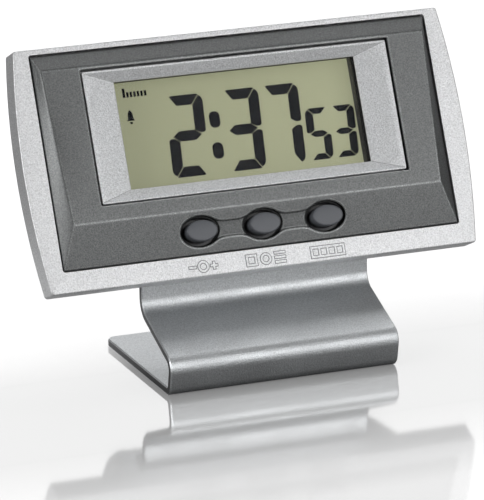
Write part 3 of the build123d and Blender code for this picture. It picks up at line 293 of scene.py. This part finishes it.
# Dark bezel.
# One moulding in charcoal metallic paint: a plateau, four facets and the trough of the keys.
# Its gaps, key wells and trough are darker as painted shade.
# Its ridges and the lip of the key trough are lighter as painted highlight.
charcoal_paint = finish_material(
    "charcoal_paint", (0.148, 0.153, 0.153), 0.6, 0.35, scale=3800.0, contrast=0.4, height=0.4,
    edge=0.0006, highlight_gain=2.6, shade_reach=0.0022
)
smooth_copy("dark_bezel", charcoal_paint, "head")

# Silver display bezel.
# A moulding in a finer silver than the frame, with four mitred facets round the window.
# Its edges are a little lighter as painted highlight.
display_paint = finish_material(
    "display_silver", (0.67, 0.68, 0.69), 0.55, 0.36, scale=3600.0, contrast=0.3, height=0.8,
    edge=0.0002, highlight_gain=0.3
)
smooth_copy("lcd_bezel", display_paint, "head")

# Display.
# A clear window, a polarizer, two glasses with the liquid crystal between them and a grey-green
# reflector, gripped by a black holder. The rear glass shows the reflector's colour.


CLEAR_ROUGHNESS = 0.04
CLEAR_SPREAD = 0.03
PLASTIC_IOR = 1.45


def clear_material(name, tint, gloss):
    """Clear sheet that lets the view and the light through, with a reflection at grazing angles."""
    material = bpy.data.materials.new(name)
    material.use_nodes = True
    tree = material.node_tree
    tree.nodes.remove(tree.nodes["Principled BSDF"])
    output = tree.nodes["Material Output"]
    wear = add(tree, "ShaderNodeGroup", node_tree=HANDLING)
    wear.inputs["Roughness"].default_value = CLEAR_ROUGHNESS
    wear.inputs["Spread"].default_value = CLEAR_SPREAD
    through = add(tree, "ShaderNodeBsdfTransparent", {"Color": tint})
    mirror = add(tree, "ShaderNodeBsdfGlossy", {"Roughness": wear.outputs["Roughness"]})
    edge = add(tree, "ShaderNodeFresnel", {"IOR": PLASTIC_IOR})
    share = add(tree, "ShaderNodeMath", {0: edge.outputs[0], 1: gloss}, operation="MULTIPLY")
    mixed = add(tree, "ShaderNodeMixShader", {
        0: share.outputs[0], 1: through.outputs[0], 2: mirror.outputs[0],
    })
    tree.links.new(mixed.outputs[0], output.inputs["Surface"])
    return material


HEAD_LEAN = math.radians(24.4)
HEAD_FOOT = (0.0, -0.01102, 0.02145)
MM_IN_METRE = 1000
HEAD_PLACE = Matrix((
    (1.0, 0.0, 0.0, 0.0),
    (0.0, math.sin(HEAD_LEAN), -math.cos(HEAD_LEAN), HEAD_FOOT[1]),
    (0.0, math.cos(HEAD_LEAN), math.sin(HEAD_LEAN), HEAD_FOOT[2]),
    (0.0, 0.0, 0.0, 1.0),
))


def head_point(x, up, out):
    """Row-frame point, in metres, of a place on the face: right, up the face and out of it, in mm."""
    return HEAD_PLACE @ Vector((x / MM_IN_METRE, up / MM_IN_METRE, out / MM_IN_METRE))


def head_piece(name, points, faces, materials):
    """Mesh piece from points of the face in mm; each face is (corner numbers, material number)."""
    mesh = bpy.data.meshes.new(name)
    mesh.from_pydata([head_point(*point) for point in points], [], [face[0] for face in faces])
    for material in materials:
        mesh.materials.append(material)
    for polygon, face in zip(mesh.polygons, faces):
        polygon.material_index = face[1]
    piece = bpy.data.objects.new(name, mesh)
    scene.collection.objects.link(piece)
    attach(piece, "head")
    return piece


dress("window_lens", clear_material("clear_acrylic", (0.99, 0.99, 0.99, 1.0), 0.12))
display_field = finish_material(
    "display_field", (0.27, 0.28, 0.175), 0.0, 0.55, scale=9000.0, contrast=0.05, height=0.03,
    specular=0.1, dust=0.0,
)
# Painted light: the field glows faintly though it is no lamp, and the glow grows from left to right.
FIELD_PAINTED_GLOW = (0.66, 0.68, 0.45)
FIELD_HALF_WIDTH = 0.026
field_tree = display_field.node_tree
field_surface = field_tree.nodes["Principled BSDF"]
field_place = add(field_tree, "ShaderNodeTexCoord")
field_across = add(field_tree, "ShaderNodeSeparateXYZ", {"Vector": field_place.outputs["Object"]})
field_light_ramp = add(field_tree, "ShaderNodeMapRange", {
    "Value": field_across.outputs["X"], "From Min": -FIELD_HALF_WIDTH,
    "From Max": FIELD_HALF_WIDTH, "To Min": 0.85, "To Max": 1.15,
})
field_painted_glow = add(field_tree, "ShaderNodeVectorMath", {
    0: FIELD_PAINTED_GLOW, "Scale": field_light_ramp.outputs["Result"],
}, operation="SCALE")
field_tree.links.new(field_painted_glow.outputs[0], field_surface.inputs["Emission Color"])
field_surface.inputs["Emission Strength"].default_value = 0.31
for name in ("lcd_rear_glass", "lcd_reflector"):
    dress(name, display_field)
crystal_black = finish_material(
    "crystal_black", (0.004, 0.005, 0.008), 0.0, 0.4, contrast=0.05, specular=0.03, dust=0.0
)
dress("lcd_segments", crystal_black)
holder_black = finish_material("holder_black", (0.02, 0.02, 0.021), 0.0, 0.5, contrast=0.1, dust=0.02)
dress("lcd_holder", holder_black)
dress("lcd_edge_seal", finish_material("seal_epoxy", (0.5, 0.42, 0.22), 0.0, 0.4, contrast=0.1))

# The polarizer and the front glass as one sheet, clear in front; its rear has the field's colour.
CELL_LEFT, CELL_RIGHT = -27.2, 27.2
CELL_LOW, CELL_HIGH = 16.95, 42.65
CELL_FRONT, CELL_BACK = -3.5, -4.84
cell_outline = [
    (CELL_LEFT, CELL_LOW), (CELL_RIGHT, CELL_LOW), (CELL_RIGHT, CELL_HIGH), (CELL_LEFT, CELL_HIGH),
]
cell_corners = [(x, up, out) for out in (CELL_BACK, CELL_FRONT) for x, up in cell_outline]
front_cell = head_piece(
    "display_cell", cell_corners,
    [((4, 5, 6, 7), 0), ((3, 2, 1, 0), 1), ((0, 1, 5, 4), 1), ((1, 2, 6, 5), 1), ((2, 3, 7, 6), 1),
     ((3, 0, 4, 7), 1)],
    [clear_material("display_glass", (0.99, 0.99, 0.98, 1.0), 0.05), display_field],
)
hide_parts("lcd_front_polarizer", "lcd_front_glass")

# Display signs.
# Small generic signs at the left, printed as part of the liquid crystal: a tall stroke and six
# short ones for the days, and a bell for the alarm.


def prisms(outlines, back, front):
    """Corner points and faces of thin plates with the given outlines, counterclockwise in mm."""
    points, faces = [], []
    for outline in outlines:
        start, count = len(points), len(outline)
        points += [(x, up, back) for x, up in outline] + [(x, up, front) for x, up in outline]
        faces.append((tuple(range(start + count - 1, start - 1, -1)), 0))
        faces.append((tuple(range(start + count, start + 2 * count)), 0))
        for corner in range(count):
            after = (corner + 1) % count
            side = (corner, after, count + after, count + corner)
            faces.append((tuple(start + step for step in side), 0))
    return points, faces


def box_outline(x, up, width, height):
    """Rectangle round its middle."""
    half, tall = width / 2, height / 2
    return [(x - half, up - tall), (x + half, up - tall),
            (x + half, up + tall), (x - half, up + tall)]


DAY_FIRST, DAY_PITCH, DAY_FOOT = -22.75, 0.76, 38.5
TALL_WIDTH, TALL_HEIGHT = 0.54, 1.9
SHORT_WIDTH, SHORT_HEIGHT, SHORT_COUNT = 0.48, 1.1, 6
SIGN_BACK, SIGN_FRONT = -4.82, -4.76
BELL_X, BELL_UP = -22.1, 33.0
CLAPPER_UP, CLAPPER_WIDTH, CLAPPER_HEIGHT = 0.25, 0.55, 0.4
bell = [(-0.85, 0.7), (0.85, 0.7), (0.6, 1.1), (0.5, 2.2), (0.22, 2.7), (0.0, 2.95), (-0.22, 2.7),
        (-0.5, 2.2), (-0.6, 1.1)]
sign_outlines = [
    box_outline(DAY_FIRST, DAY_FOOT + TALL_HEIGHT / 2, TALL_WIDTH, TALL_HEIGHT),
    [(BELL_X + x, BELL_UP + up) for x, up in bell],
    box_outline(BELL_X, BELL_UP + CLAPPER_UP, CLAPPER_WIDTH, CLAPPER_HEIGHT),
]
mark_points, mark_faces = prisms(sign_outlines, SIGN_BACK, SIGN_FRONT)
head_piece("display_signs", mark_points, mark_faces, [crystal_black])


def row_tree():
    """Geometry nodes that set equal strokes in a row."""
    tree = bpy.data.node_groups.new("row_of_strokes", "GeometryNodeTree")
    tree.is_modifier = True
    for label, kind in (("Count", "NodeSocketInt"), ("Step", "NodeSocketVector"),
                        ("Size", "NodeSocketVector"), ("Material", "NodeSocketMaterial")):
        tree.interface.new_socket(label, in_out="INPUT", socket_type=kind)
    tree.interface.new_socket("Strokes", in_out="OUTPUT", socket_type="NodeSocketGeometry")
    entry = tree.nodes.new("NodeGroupInput").outputs
    finish = tree.nodes.new("NodeGroupOutput")
    line = add(tree, "GeometryNodeMeshLine", {
        "Count": entry["Count"], "Offset": entry["Step"],
    }, mode="OFFSET")
    stroke = add(tree, "GeometryNodeMeshCube", {"Size": entry["Size"]})
    placed = add(tree, "GeometryNodeInstanceOnPoints", {
        "Points": line.outputs["Mesh"], "Instance": stroke.outputs["Mesh"],
    })
    real = add(tree, "GeometryNodeRealizeInstances", {"Geometry": placed.outputs["Instances"]})
    shown = add(tree, "GeometryNodeSetMaterial", {
        "Geometry": real.outputs["Geometry"], "Material": entry["Material"],
    })
    tree.links.new(shown.outputs["Geometry"], finish.inputs["Strokes"])
    return tree


STROKES = row_tree()


def stroke_row(name, first, count, step, size, material):
    """Plain mesh piece of equal strokes in a row on the face, from the middle of the first, in mm."""
    piece = bpy.data.objects.new(name, bpy.data.meshes.new(name + "_start"))
    scene.collection.objects.link(piece)
    row = piece.modifiers.new("row", "NODES")
    row.node_group = STROKES
    values = {"Count": count, "Step": [part / MM_IN_METRE for part in step],
              "Size": [part / MM_IN_METRE for part in size], "Material": material}
    for item in STROKES.interface.items_tree:
        if item.in_out == "INPUT":
            row[item.identifier] = values[item.name]
    made = piece.evaluated_get(bpy.context.evaluated_depsgraph_get())
    mesh = bpy.data.meshes.new_from_object(made)
    mesh.transform(HEAD_PLACE @ Matrix.Translation([part / MM_IN_METRE for part in first]))
    mesh.name = name
    piece.modifiers.clear()
    piece.data = mesh
    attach(piece, "head")
    return piece


first_stroke = (DAY_FIRST + DAY_PITCH, DAY_FOOT + SHORT_HEIGHT / 2, (SIGN_BACK + SIGN_FRONT) / 2)
stroke_row(
    "day_strokes", first_stroke, SHORT_COUNT, (DAY_PITCH, 0.0, 0.0),
    (SHORT_WIDTH, SHORT_HEIGHT, SIGN_FRONT - SIGN_BACK), crystal_black
)

# Mitre joints.
# Fine dark joints where the four facets of the silver display bezel meet, from its sight edge up
# to its outer land. They stand 12 micrometres proud, as drawn lines of the mould.
SIGHT_CORNERS = ((-26.1, 19.175), (26.1, 19.175), (26.1, 41.125), (-26.1, 41.125))
LAND_CORNERS = ((-32.6, 17.05), (32.6, 17.05), (32.6, 43.25), (-32.6, 43.25))
SIGHT_HEIGHT, LAND_HEIGHT = -0.19, 1.17
JOINT_HALF_WIDTH, JOINT_ROOT, JOINT_PROUD = 0.05, -0.03, 0.012
JOINT_FACES = ((2, 3, 1, 0), (5, 7, 6, 4), (1, 5, 4, 0), (6, 7, 3, 2), (4, 6, 2, 0), (3, 7, 5, 1))
# The same dark grey also outlines the key signs as painted shade.
joint_and_shade_material = finish_material("joint_and_painted_shade_grey", (0.2, 0.2, 0.21), 0.2, 0.5, contrast=0.1)
joint_points, joint_faces = [], []
for (inner_x, inner_up), (outer_x, outer_up) in zip(SIGHT_CORNERS, LAND_CORNERS):
    along = Vector((outer_x - inner_x, outer_up - inner_up)).normalized()
    across = Vector((-along.y, along.x)) * JOINT_HALF_WIDTH
    start = len(joint_points)
    for out in (JOINT_ROOT, JOINT_PROUD):
        for side in (-1, 1):
            wide, tall = side * across.x, side * across.y
            joint_points.append((inner_x + wide, inner_up + tall, SIGHT_HEIGHT + out))
            joint_points.append((outer_x + wide, outer_up + tall, LAND_HEIGHT + out))
    for face in JOINT_FACES:
        joint_faces.append((tuple(start + corner for corner in face), 0))
head_piece("mitre_joints", joint_points, joint_faces, [joint_and_shade_material])

# Signs of the keys.
# Raised in the frame's lower rim, one under each key: minus, ring and plus for setting, a
# square, a ring and three bars for the mode, and a row of boxes for the date.


def bands(pairs, back, front):
    """Corner points and faces of closed bands, each between an outer and an inner outline, in mm."""
    points, faces = [], []
    for outer, inner in pairs:
        count = len(outer)
        start = len(points)
        for outline in (outer, inner):
            for out in (back, front):
                points += [(x, up, out) for x, up in outline]
        for corner in range(count):
            low, after = start + corner, start + (corner + 1) % count
            far, hole, rim = count, 2 * count, 3 * count
            faces.append(((low + far, after + far, after + rim, low + rim), 0))
            faces.append(((low + hole, after + hole, after, low), 0))
            faces.append(((low, after, after + far, low + far), 0))
            faces.append(((after + hole, low + hole, low + rim, after + rim), 0))
    return points, faces


def ring_band(x, up, outside, inside, count=28):
    """Outer and inner circle."""
    turns = [2 * math.pi * step / count for step in range(count)]
    return [[(x + radius * math.cos(turn), up + radius * math.sin(turn)) for turn in turns]
            for radius in (outside, inside)]


def frame_band(x, up, width, height, stroke):
    """Outer and inner rectangle."""
    inner_width, inner_height = width - 2 * stroke, height - 2 * stroke
    return [box_outline(x, up, width, height), box_outline(x, up, inner_width, inner_height)]


SIGN_UP, SIGN_TALL, SIGN_STROKE, SIGN_ARM = 2.05, 2.3, 0.42, 1.5
MINUS_X, SET_RING_X, PLUS_X = -16.0, -13.7, -11.4
SQUARE_X, MODE_RING_X, BARS_X, BAR_PITCH = -3.3, -0.2, 2.9, 0.94
DATE_X, DATE_WIDTH, DATE_PITCH = 13.3, 7.4, 1.75
SIGN_ROOT, RELIEF_HEIGHT, SHADE_HEIGHT, SHADE_SPREAD = -0.05, 0.1, 0.02, 0.3


def sign_shapes(grow):
    """Plates and bands of all the signs, each stroke wider by grow, in mm."""
    stroke, tall, arm = SIGN_STROKE + grow, SIGN_TALL + grow, SIGN_ARM + grow
    half, reach = stroke / 2, arm / 2
    plus = [(-reach, -half), (-half, -half), (-half, -reach), (half, -reach),
            (half, -half), (reach, -half), (reach, half), (half, half),
            (half, reach), (-half, reach), (-half, half), (-reach, half)]
    plates = [
        box_outline(MINUS_X, SIGN_UP, arm, stroke),
        [(PLUS_X + x, SIGN_UP + up) for x, up in plus],
    ]
    for step in (-1, 0, 1):
        plates.append(box_outline(BARS_X, SIGN_UP + step * BAR_PITCH, tall, stroke))
        plates.append(box_outline(DATE_X + step * DATE_PITCH, SIGN_UP, stroke, tall - 2 * stroke))
    pairs = [ring_band(x, SIGN_UP, tall / 2, tall / 2 - stroke) for x in (SET_RING_X, MODE_RING_X)]
    pairs.append(frame_band(SQUARE_X, SIGN_UP, tall, tall, stroke))
    pairs.append(frame_band(DATE_X, SIGN_UP, DATE_WIDTH + grow, tall, stroke))
    return plates, pairs


# Each sign has a wider dark grey plate round it, just above the rim, as painted shade along its raised
# strokes.
for name, grow, height, material in (
    ("sign_relief", 0.0, RELIEF_HEIGHT, silver_paint),
    ("sign_shade", SHADE_SPREAD, SHADE_HEIGHT, joint_and_shade_material),
):
    sign_plates, sign_pairs = sign_shapes(grow)
    sign_points, sign_faces = prisms(sign_plates, SIGN_ROOT, height)
    band_points, band_faces = bands(sign_pairs, SIGN_ROOT, height)
    shift = len(sign_points)
    for face, number in band_faces:
        sign_faces.append((tuple(shift + corner for corner in face), number))
    head_piece(name, sign_points + band_points, sign_faces, [material])

# Keys.
# Three oval caps in smooth blue-grey plastic, each with a flange and a stem that presses a
# rubber dome on the circuit board.
# The caps are darker deep in their wells as painted shade.
key_plastic = finish_material(
    "key_plastic", (0.115, 0.122, 0.136), 0.1, 0.4, contrast=0.04, height=0.04, coat=0.1, shade_reach=0.0012
)
dome_rubber = finish_material("dome_rubber", (0.45, 0.45, 0.44), 0.0, 0.7, contrast=0.06)
for name in ("set", "mode", "date"):
    smooth_copy(name + "_button", key_plastic, name + "_button")
    dress(name + "_dome", dome_rubber)

# Circuit board and what is on it.
# A green laminate held to the display holder by four screws, with a resin blob over the clock
# chip, a watch crystal and small chip parts; a rubber strip joins it to the display.
inside = {
    "zebra_strip": finish_material("zebra_rubber", (0.55, 0.5, 0.48), 0.0, 0.6, contrast=0.3),
    "circuit_board": finish_material("board_laminate", (0.03, 0.14, 0.06), 0.0, 0.4, contrast=0.12),
    "chip_blob": finish_material("chip_resin", (0.015, 0.015, 0.016), 0.0, 0.3, contrast=0.1, coat=0.3),
    "quartz_crystal": finish_material("crystal_can", (0.75, 0.74, 0.7), 1.0, 0.25, contrast=0.04),
    "capacitors": finish_material("capacitor_ceramic", (0.45, 0.33, 0.2), 0.0, 0.5, contrast=0.1),
    "resistors": finish_material("resistor_body", (0.03, 0.03, 0.035), 0.0, 0.4, contrast=0.1),
}
for node, material in inside.items():
    dress(node, material)

# Battery, buzzer and screws.
# Steel, brass and ceramic pieces in the rear shell: the cell between its two contacts, the
# buzzer disc on its seat with two springs, and the screws that close the case.
steel = finish_material("screw_steel", (0.55, 0.55, 0.56), 1.0, 0.3, contrast=0.05, height=0.06)
cell_steel = finish_material("cell_steel", (0.72, 0.72, 0.71), 1.0, 0.24, contrast=0.03, height=0.03)
brass = finish_material("buzzer_brass", (0.72, 0.53, 0.25), 1.0, 0.3, contrast=0.05)
ceramic = finish_material("buzzer_ceramic", (0.78, 0.77, 0.72), 0.3, 0.45, contrast=0.05)
for node in ("case_screws", "board_screws", "positive_contact", "negative_contact", "buzzer_springs"):
    dress(node, steel)
dress("button_cell", cell_steel)
dress("buzzer_plate", brass)
dress("buzzer_ceramic", ceramic)

# Hinge.
# A steel pin through the rolled edge of the stand, held in ribs of the rear shell, with a
# spring washer at each end that brakes the tilt.
smooth_copy("hinge_pin", steel, "head")
dress("friction_washers", cell_steel)

# Floor.
# A pale, glossy studio sheet that shows a faint reflection of what stands on it. What isn't seen
# straight by the camera takes it as grey, with painted shadow close in front of the object, under
# it and to its left, and a painted pool of light round it that fades far behind.
FLOOR_HALF = 4
FLOOR_GLOW = 0.62
MIRROR_MIDDLE = (-0.01, -0.03, 0.0)
floor_corners = [(x * FLOOR_HALF, y * FLOOR_HALF, 0) for x, y in ((-1, -1), (1, -1), (1, 1), (-1, 1))]
floor_mesh = bpy.data.meshes.new("floor")
floor_mesh.from_pydata(floor_corners, [], [(0, 1, 2, 3)])
floor = bpy.data.objects.new("floor", floor_mesh)
scene.collection.objects.link(floor)
floor_material = bpy.data.materials.new("floor_sheet")
floor_material.use_nodes = True
floor_tree = floor_material.node_tree
floor_surface = floor_tree.nodes["Principled BSDF"]
floor_place = add(floor_tree, "ShaderNodeTexCoord")
floor_clouds = add(floor_tree, "ShaderNodeTexNoise", {
    "Vector": floor_place.outputs["Object"], "Scale": 6.0, "Detail": 3.0,
})
floor_gloss = add(floor_tree, "ShaderNodeMapRange", {
    "Value": floor_clouds.outputs["Fac"], "To Min": 0.05, "To Max": 0.08,
})
# Painted shadow and pool of light: other rays see the sheet dark close in front of the object, under
# it, to its left and far behind it.
depth = add(floor_tree, "ShaderNodeSeparateXYZ", {"Vector": floor_place.outputs["Object"]})
shadow_ahead = add(floor_tree, "ShaderNodeMapRange", {
    "Value": depth.outputs["Y"], "From Min": -0.1, "From Max": -0.03, "To Min": 0.8, "To Max": 0.08,
})
left_side = add(floor_tree, "ShaderNodeMapRange", {
    "Value": depth.outputs["X"], "From Min": -0.12, "From Max": -0.04, "To Min": 0.15, "To Max": 1.0,
})
shadow_ahead_right = add(floor_tree, "ShaderNodeMath", {
    0: shadow_ahead.outputs["Result"], 1: left_side.outputs["Result"],
}, operation="MULTIPLY")
under = add(floor_tree, "ShaderNodeMapRange", {
    "Value": depth.outputs["Y"], "From Min": -0.01, "From Max": 0.02, "To Max": 0.8,
})
beyond = add(floor_tree, "ShaderNodeMapRange", {
    "Value": depth.outputs["Y"], "From Min": 0.055, "From Max": 0.1, "To Min": 1.0, "To Max": 0.1,
})
back = add(floor_tree, "ShaderNodeMath", {
    0: under.outputs["Result"], 1: beyond.outputs["Result"],
}, operation="MULTIPLY")
grey = add(floor_tree, "ShaderNodeMath", {
    0: shadow_ahead_right.outputs[0], 1: back.outputs[0],
}, operation="MAXIMUM")
sight = add(floor_tree, "ShaderNodeLightPath")
shown = add(floor_tree, "ShaderNodeMix", {
    0: sight.outputs["Is Camera Ray"], 2: grey.outputs[0], 3: 0.95,
})
floor_tree.links.new(shown.outputs[0], floor_surface.inputs["Base Color"])
floor_surface.inputs["Roughness"].default_value = 0.6
floor_surface.inputs["Emission Color"].default_value = (1.0, 1.0, 1.0, 1.0)
haze = add(floor_tree, "ShaderNodeMath", {
    0: sight.outputs["Is Camera Ray"], 1: FLOOR_GLOW,
}, operation="MULTIPLY")
floor_tree.links.new(haze.outputs[0], floor_surface.inputs["Emission Strength"])
mirror = add(floor_tree, "ShaderNodeBsdfGlossy", {"Roughness": floor_gloss.outputs["Result"]})
# Painted shade: the reflection is strongest close in front of the object and fades with distance, which
# darkens the sheet there.
fade = add(floor_tree, "ShaderNodeMapRange", {
    "Value": depth.outputs["Y"], "From Min": -0.085, "From Max": -0.045, "To Min": 0.34, "To Max": 0.76,
})
rear_fade = add(floor_tree, "ShaderNodeMapRange", {
    "Value": depth.outputs["Y"], "From Min": 0.0, "From Max": 0.035, "To Min": 1.0, "To Max": 0.4,
})
both_fades = add(floor_tree, "ShaderNodeMath", {
    0: fade.outputs["Result"], 1: rear_fade.outputs["Result"],
}, operation="MULTIPLY")
distance = add(floor_tree, "ShaderNodeVectorMath", {
    0: floor_place.outputs["Object"], 1: MIRROR_MIDDLE,
}, operation="DISTANCE")
near_share = add(floor_tree, "ShaderNodeMapRange", {
    "Value": distance.outputs["Value"], "From Min": 0.08, "From Max": 0.15,
    "To Min": 1.0, "To Max": 0.15,
})
near_fades = add(floor_tree, "ShaderNodeMath", {
    0: both_fades.outputs[0], 1: near_share.outputs["Result"],
}, operation="MULTIPLY")
share = add(floor_tree, "ShaderNodeMath", {
    0: sight.outputs["Is Camera Ray"], 1: near_fades.outputs[0],
}, operation="MULTIPLY")
polished = add(floor_tree, "ShaderNodeMixShader", {
    0: share.outputs[0], 1: floor_surface.outputs[0], 2: mirror.outputs[0],
})
floor_tree.links.new(polished.outputs[0], floor_tree.nodes["Material Output"].inputs["Surface"])
floor_mesh.materials.append(floor_material)

# Lights.
# A dim surround that is brighter low behind the object, a large soft light in front and above,
# one at the left and one overhead. The camera sees the surround as plain white.
world = bpy.data.worlds.new("surround")
world.use_nodes = True
sky = world.node_tree
direction = add(sky, "ShaderNodeTexCoord")
parts = add(sky, "ShaderNodeSeparateXYZ", {"Vector": direction.outputs["Generated"]})
rise = add(sky, "ShaderNodeMapRange", {
    "Value": parts.outputs["Z"], "From Min": 0.0, "From Max": 0.8, "To Min": 0.1, "To Max": 0.22,
})
behind = add(sky, "ShaderNodeMapRange", {
    "Value": parts.outputs["Y"], "From Min": 0.3, "From Max": 0.85, "To Min": 0.0, "To Max": 0.87,
})
low = add(sky, "ShaderNodeMapRange", {
    "Value": parts.outputs["Z"], "From Min": 0.3, "From Max": 0.75, "To Min": 1.0, "To Max": 0.0,
})
horizon = add(sky, "ShaderNodeMapRange", {
    "Value": parts.outputs["Z"], "From Min": 0.04, "From Max": 0.24, "To Min": 0.3, "To Max": 1.0,
})
rightward = add(sky, "ShaderNodeMapRange", {
    "Value": parts.outputs["X"], "From Min": -0.25, "From Max": 0.1, "To Min": 0.1, "To Max": 1.0,
})
wide = add(sky, "ShaderNodeMath", {
    0: low.outputs["Result"], 1: rightward.outputs["Result"],
}, operation="MULTIPLY")
band = add(sky, "ShaderNodeMath", {
    0: wide.outputs[0], 1: horizon.outputs["Result"],
}, operation="MULTIPLY")
glow = add(sky, "ShaderNodeMath", {
    0: behind.outputs["Result"], 1: band.outputs[0], 2: rise.outputs["Result"],
}, operation="MULTIPLY_ADD")
sky.nodes["Background"].inputs["Color"].default_value = (1.0, 1.0, 1.0, 1.0)
sky_sight = add(sky, "ShaderNodeLightPath")
seen = add(sky, "ShaderNodeMix", {0: sky_sight.outputs["Is Camera Ray"], 2: glow.outputs[0], 3: 1.0})
sky.links.new(seen.outputs[0], sky.nodes["Background"].inputs["Strength"])
scene.world = world


def area_light(name, place, target, size, brightness):
    """Rectangular soft light that shines from place towards target with an even brightness."""
    light = bpy.data.lights.new(name, "AREA")
    light.shape = "RECTANGLE"
    light.size = size[0]
    light.size_y = size[1]
    light.energy = brightness * math.pi * size[0] * size[1]
    lamp = bpy.data.objects.new(name, light)
    scene.collection.objects.link(lamp)
    lamp.location = place
    lamp.rotation_euler = (Vector(target) - Vector(place)).to_track_quat("-Z", "Y").to_euler()


MIDDLE = (0.0, 0.0, 0.035)
area_light("light_front", (0.342, -0.702, 0.335), MIDDLE, (0.72, 0.42), 2.15)
area_light("light_left", (-0.8, -0.3, 0.3), MIDDLE, (0.5, 0.45), 4.5)
area_light("light_above", (0.3, 0.45, 0.99), MIDDLE, (0.8, 0.5), 2.5)

# Camera.
# A long lens from the left front and a little above, as in the photograph. The angles are in
# radians: the turn to the right, the downward tilt and the roll.
CAMERA_PLACE = Vector((-0.29974, -0.75533, 0.26451))
CAMERA_YAW = 0.376246
CAMERA_PITCH = 0.289623
CAMERA_ROLL = -0.0123736
camera_data = bpy.data.cameras.new("camera")
camera_data.sensor_fit = "HORIZONTAL"
camera_data.sensor_width = 36.0
camera_data.lens = 310.01
camera_data.clip_start = 0.01
camera_data.clip_end = 20.0
camera = bpy.data.objects.new("camera", camera_data)
scene.collection.objects.link(camera)
forward = Vector((
    math.sin(CAMERA_YAW) * math.cos(CAMERA_PITCH),
    math.cos(CAMERA_YAW) * math.cos(CAMERA_PITCH),
    -math.sin(CAMERA_PITCH),
))
level_right = Vector((math.cos(CAMERA_YAW), -math.sin(CAMERA_YAW), 0.0))
level_up = level_right.cross(forward)
right = level_right * math.cos(CAMERA_ROLL) + level_up * math.sin(CAMERA_ROLL)
up = level_up * math.cos(CAMERA_ROLL) - level_right * math.sin(CAMERA_ROLL)
turn = Matrix((right, up, -forward)).transposed()
camera.matrix_world = Matrix.Translation(CAMERA_PLACE) @ turn.to_4x4()
scene.camera = camera
scene.view_settings.view_transform = "Standard"
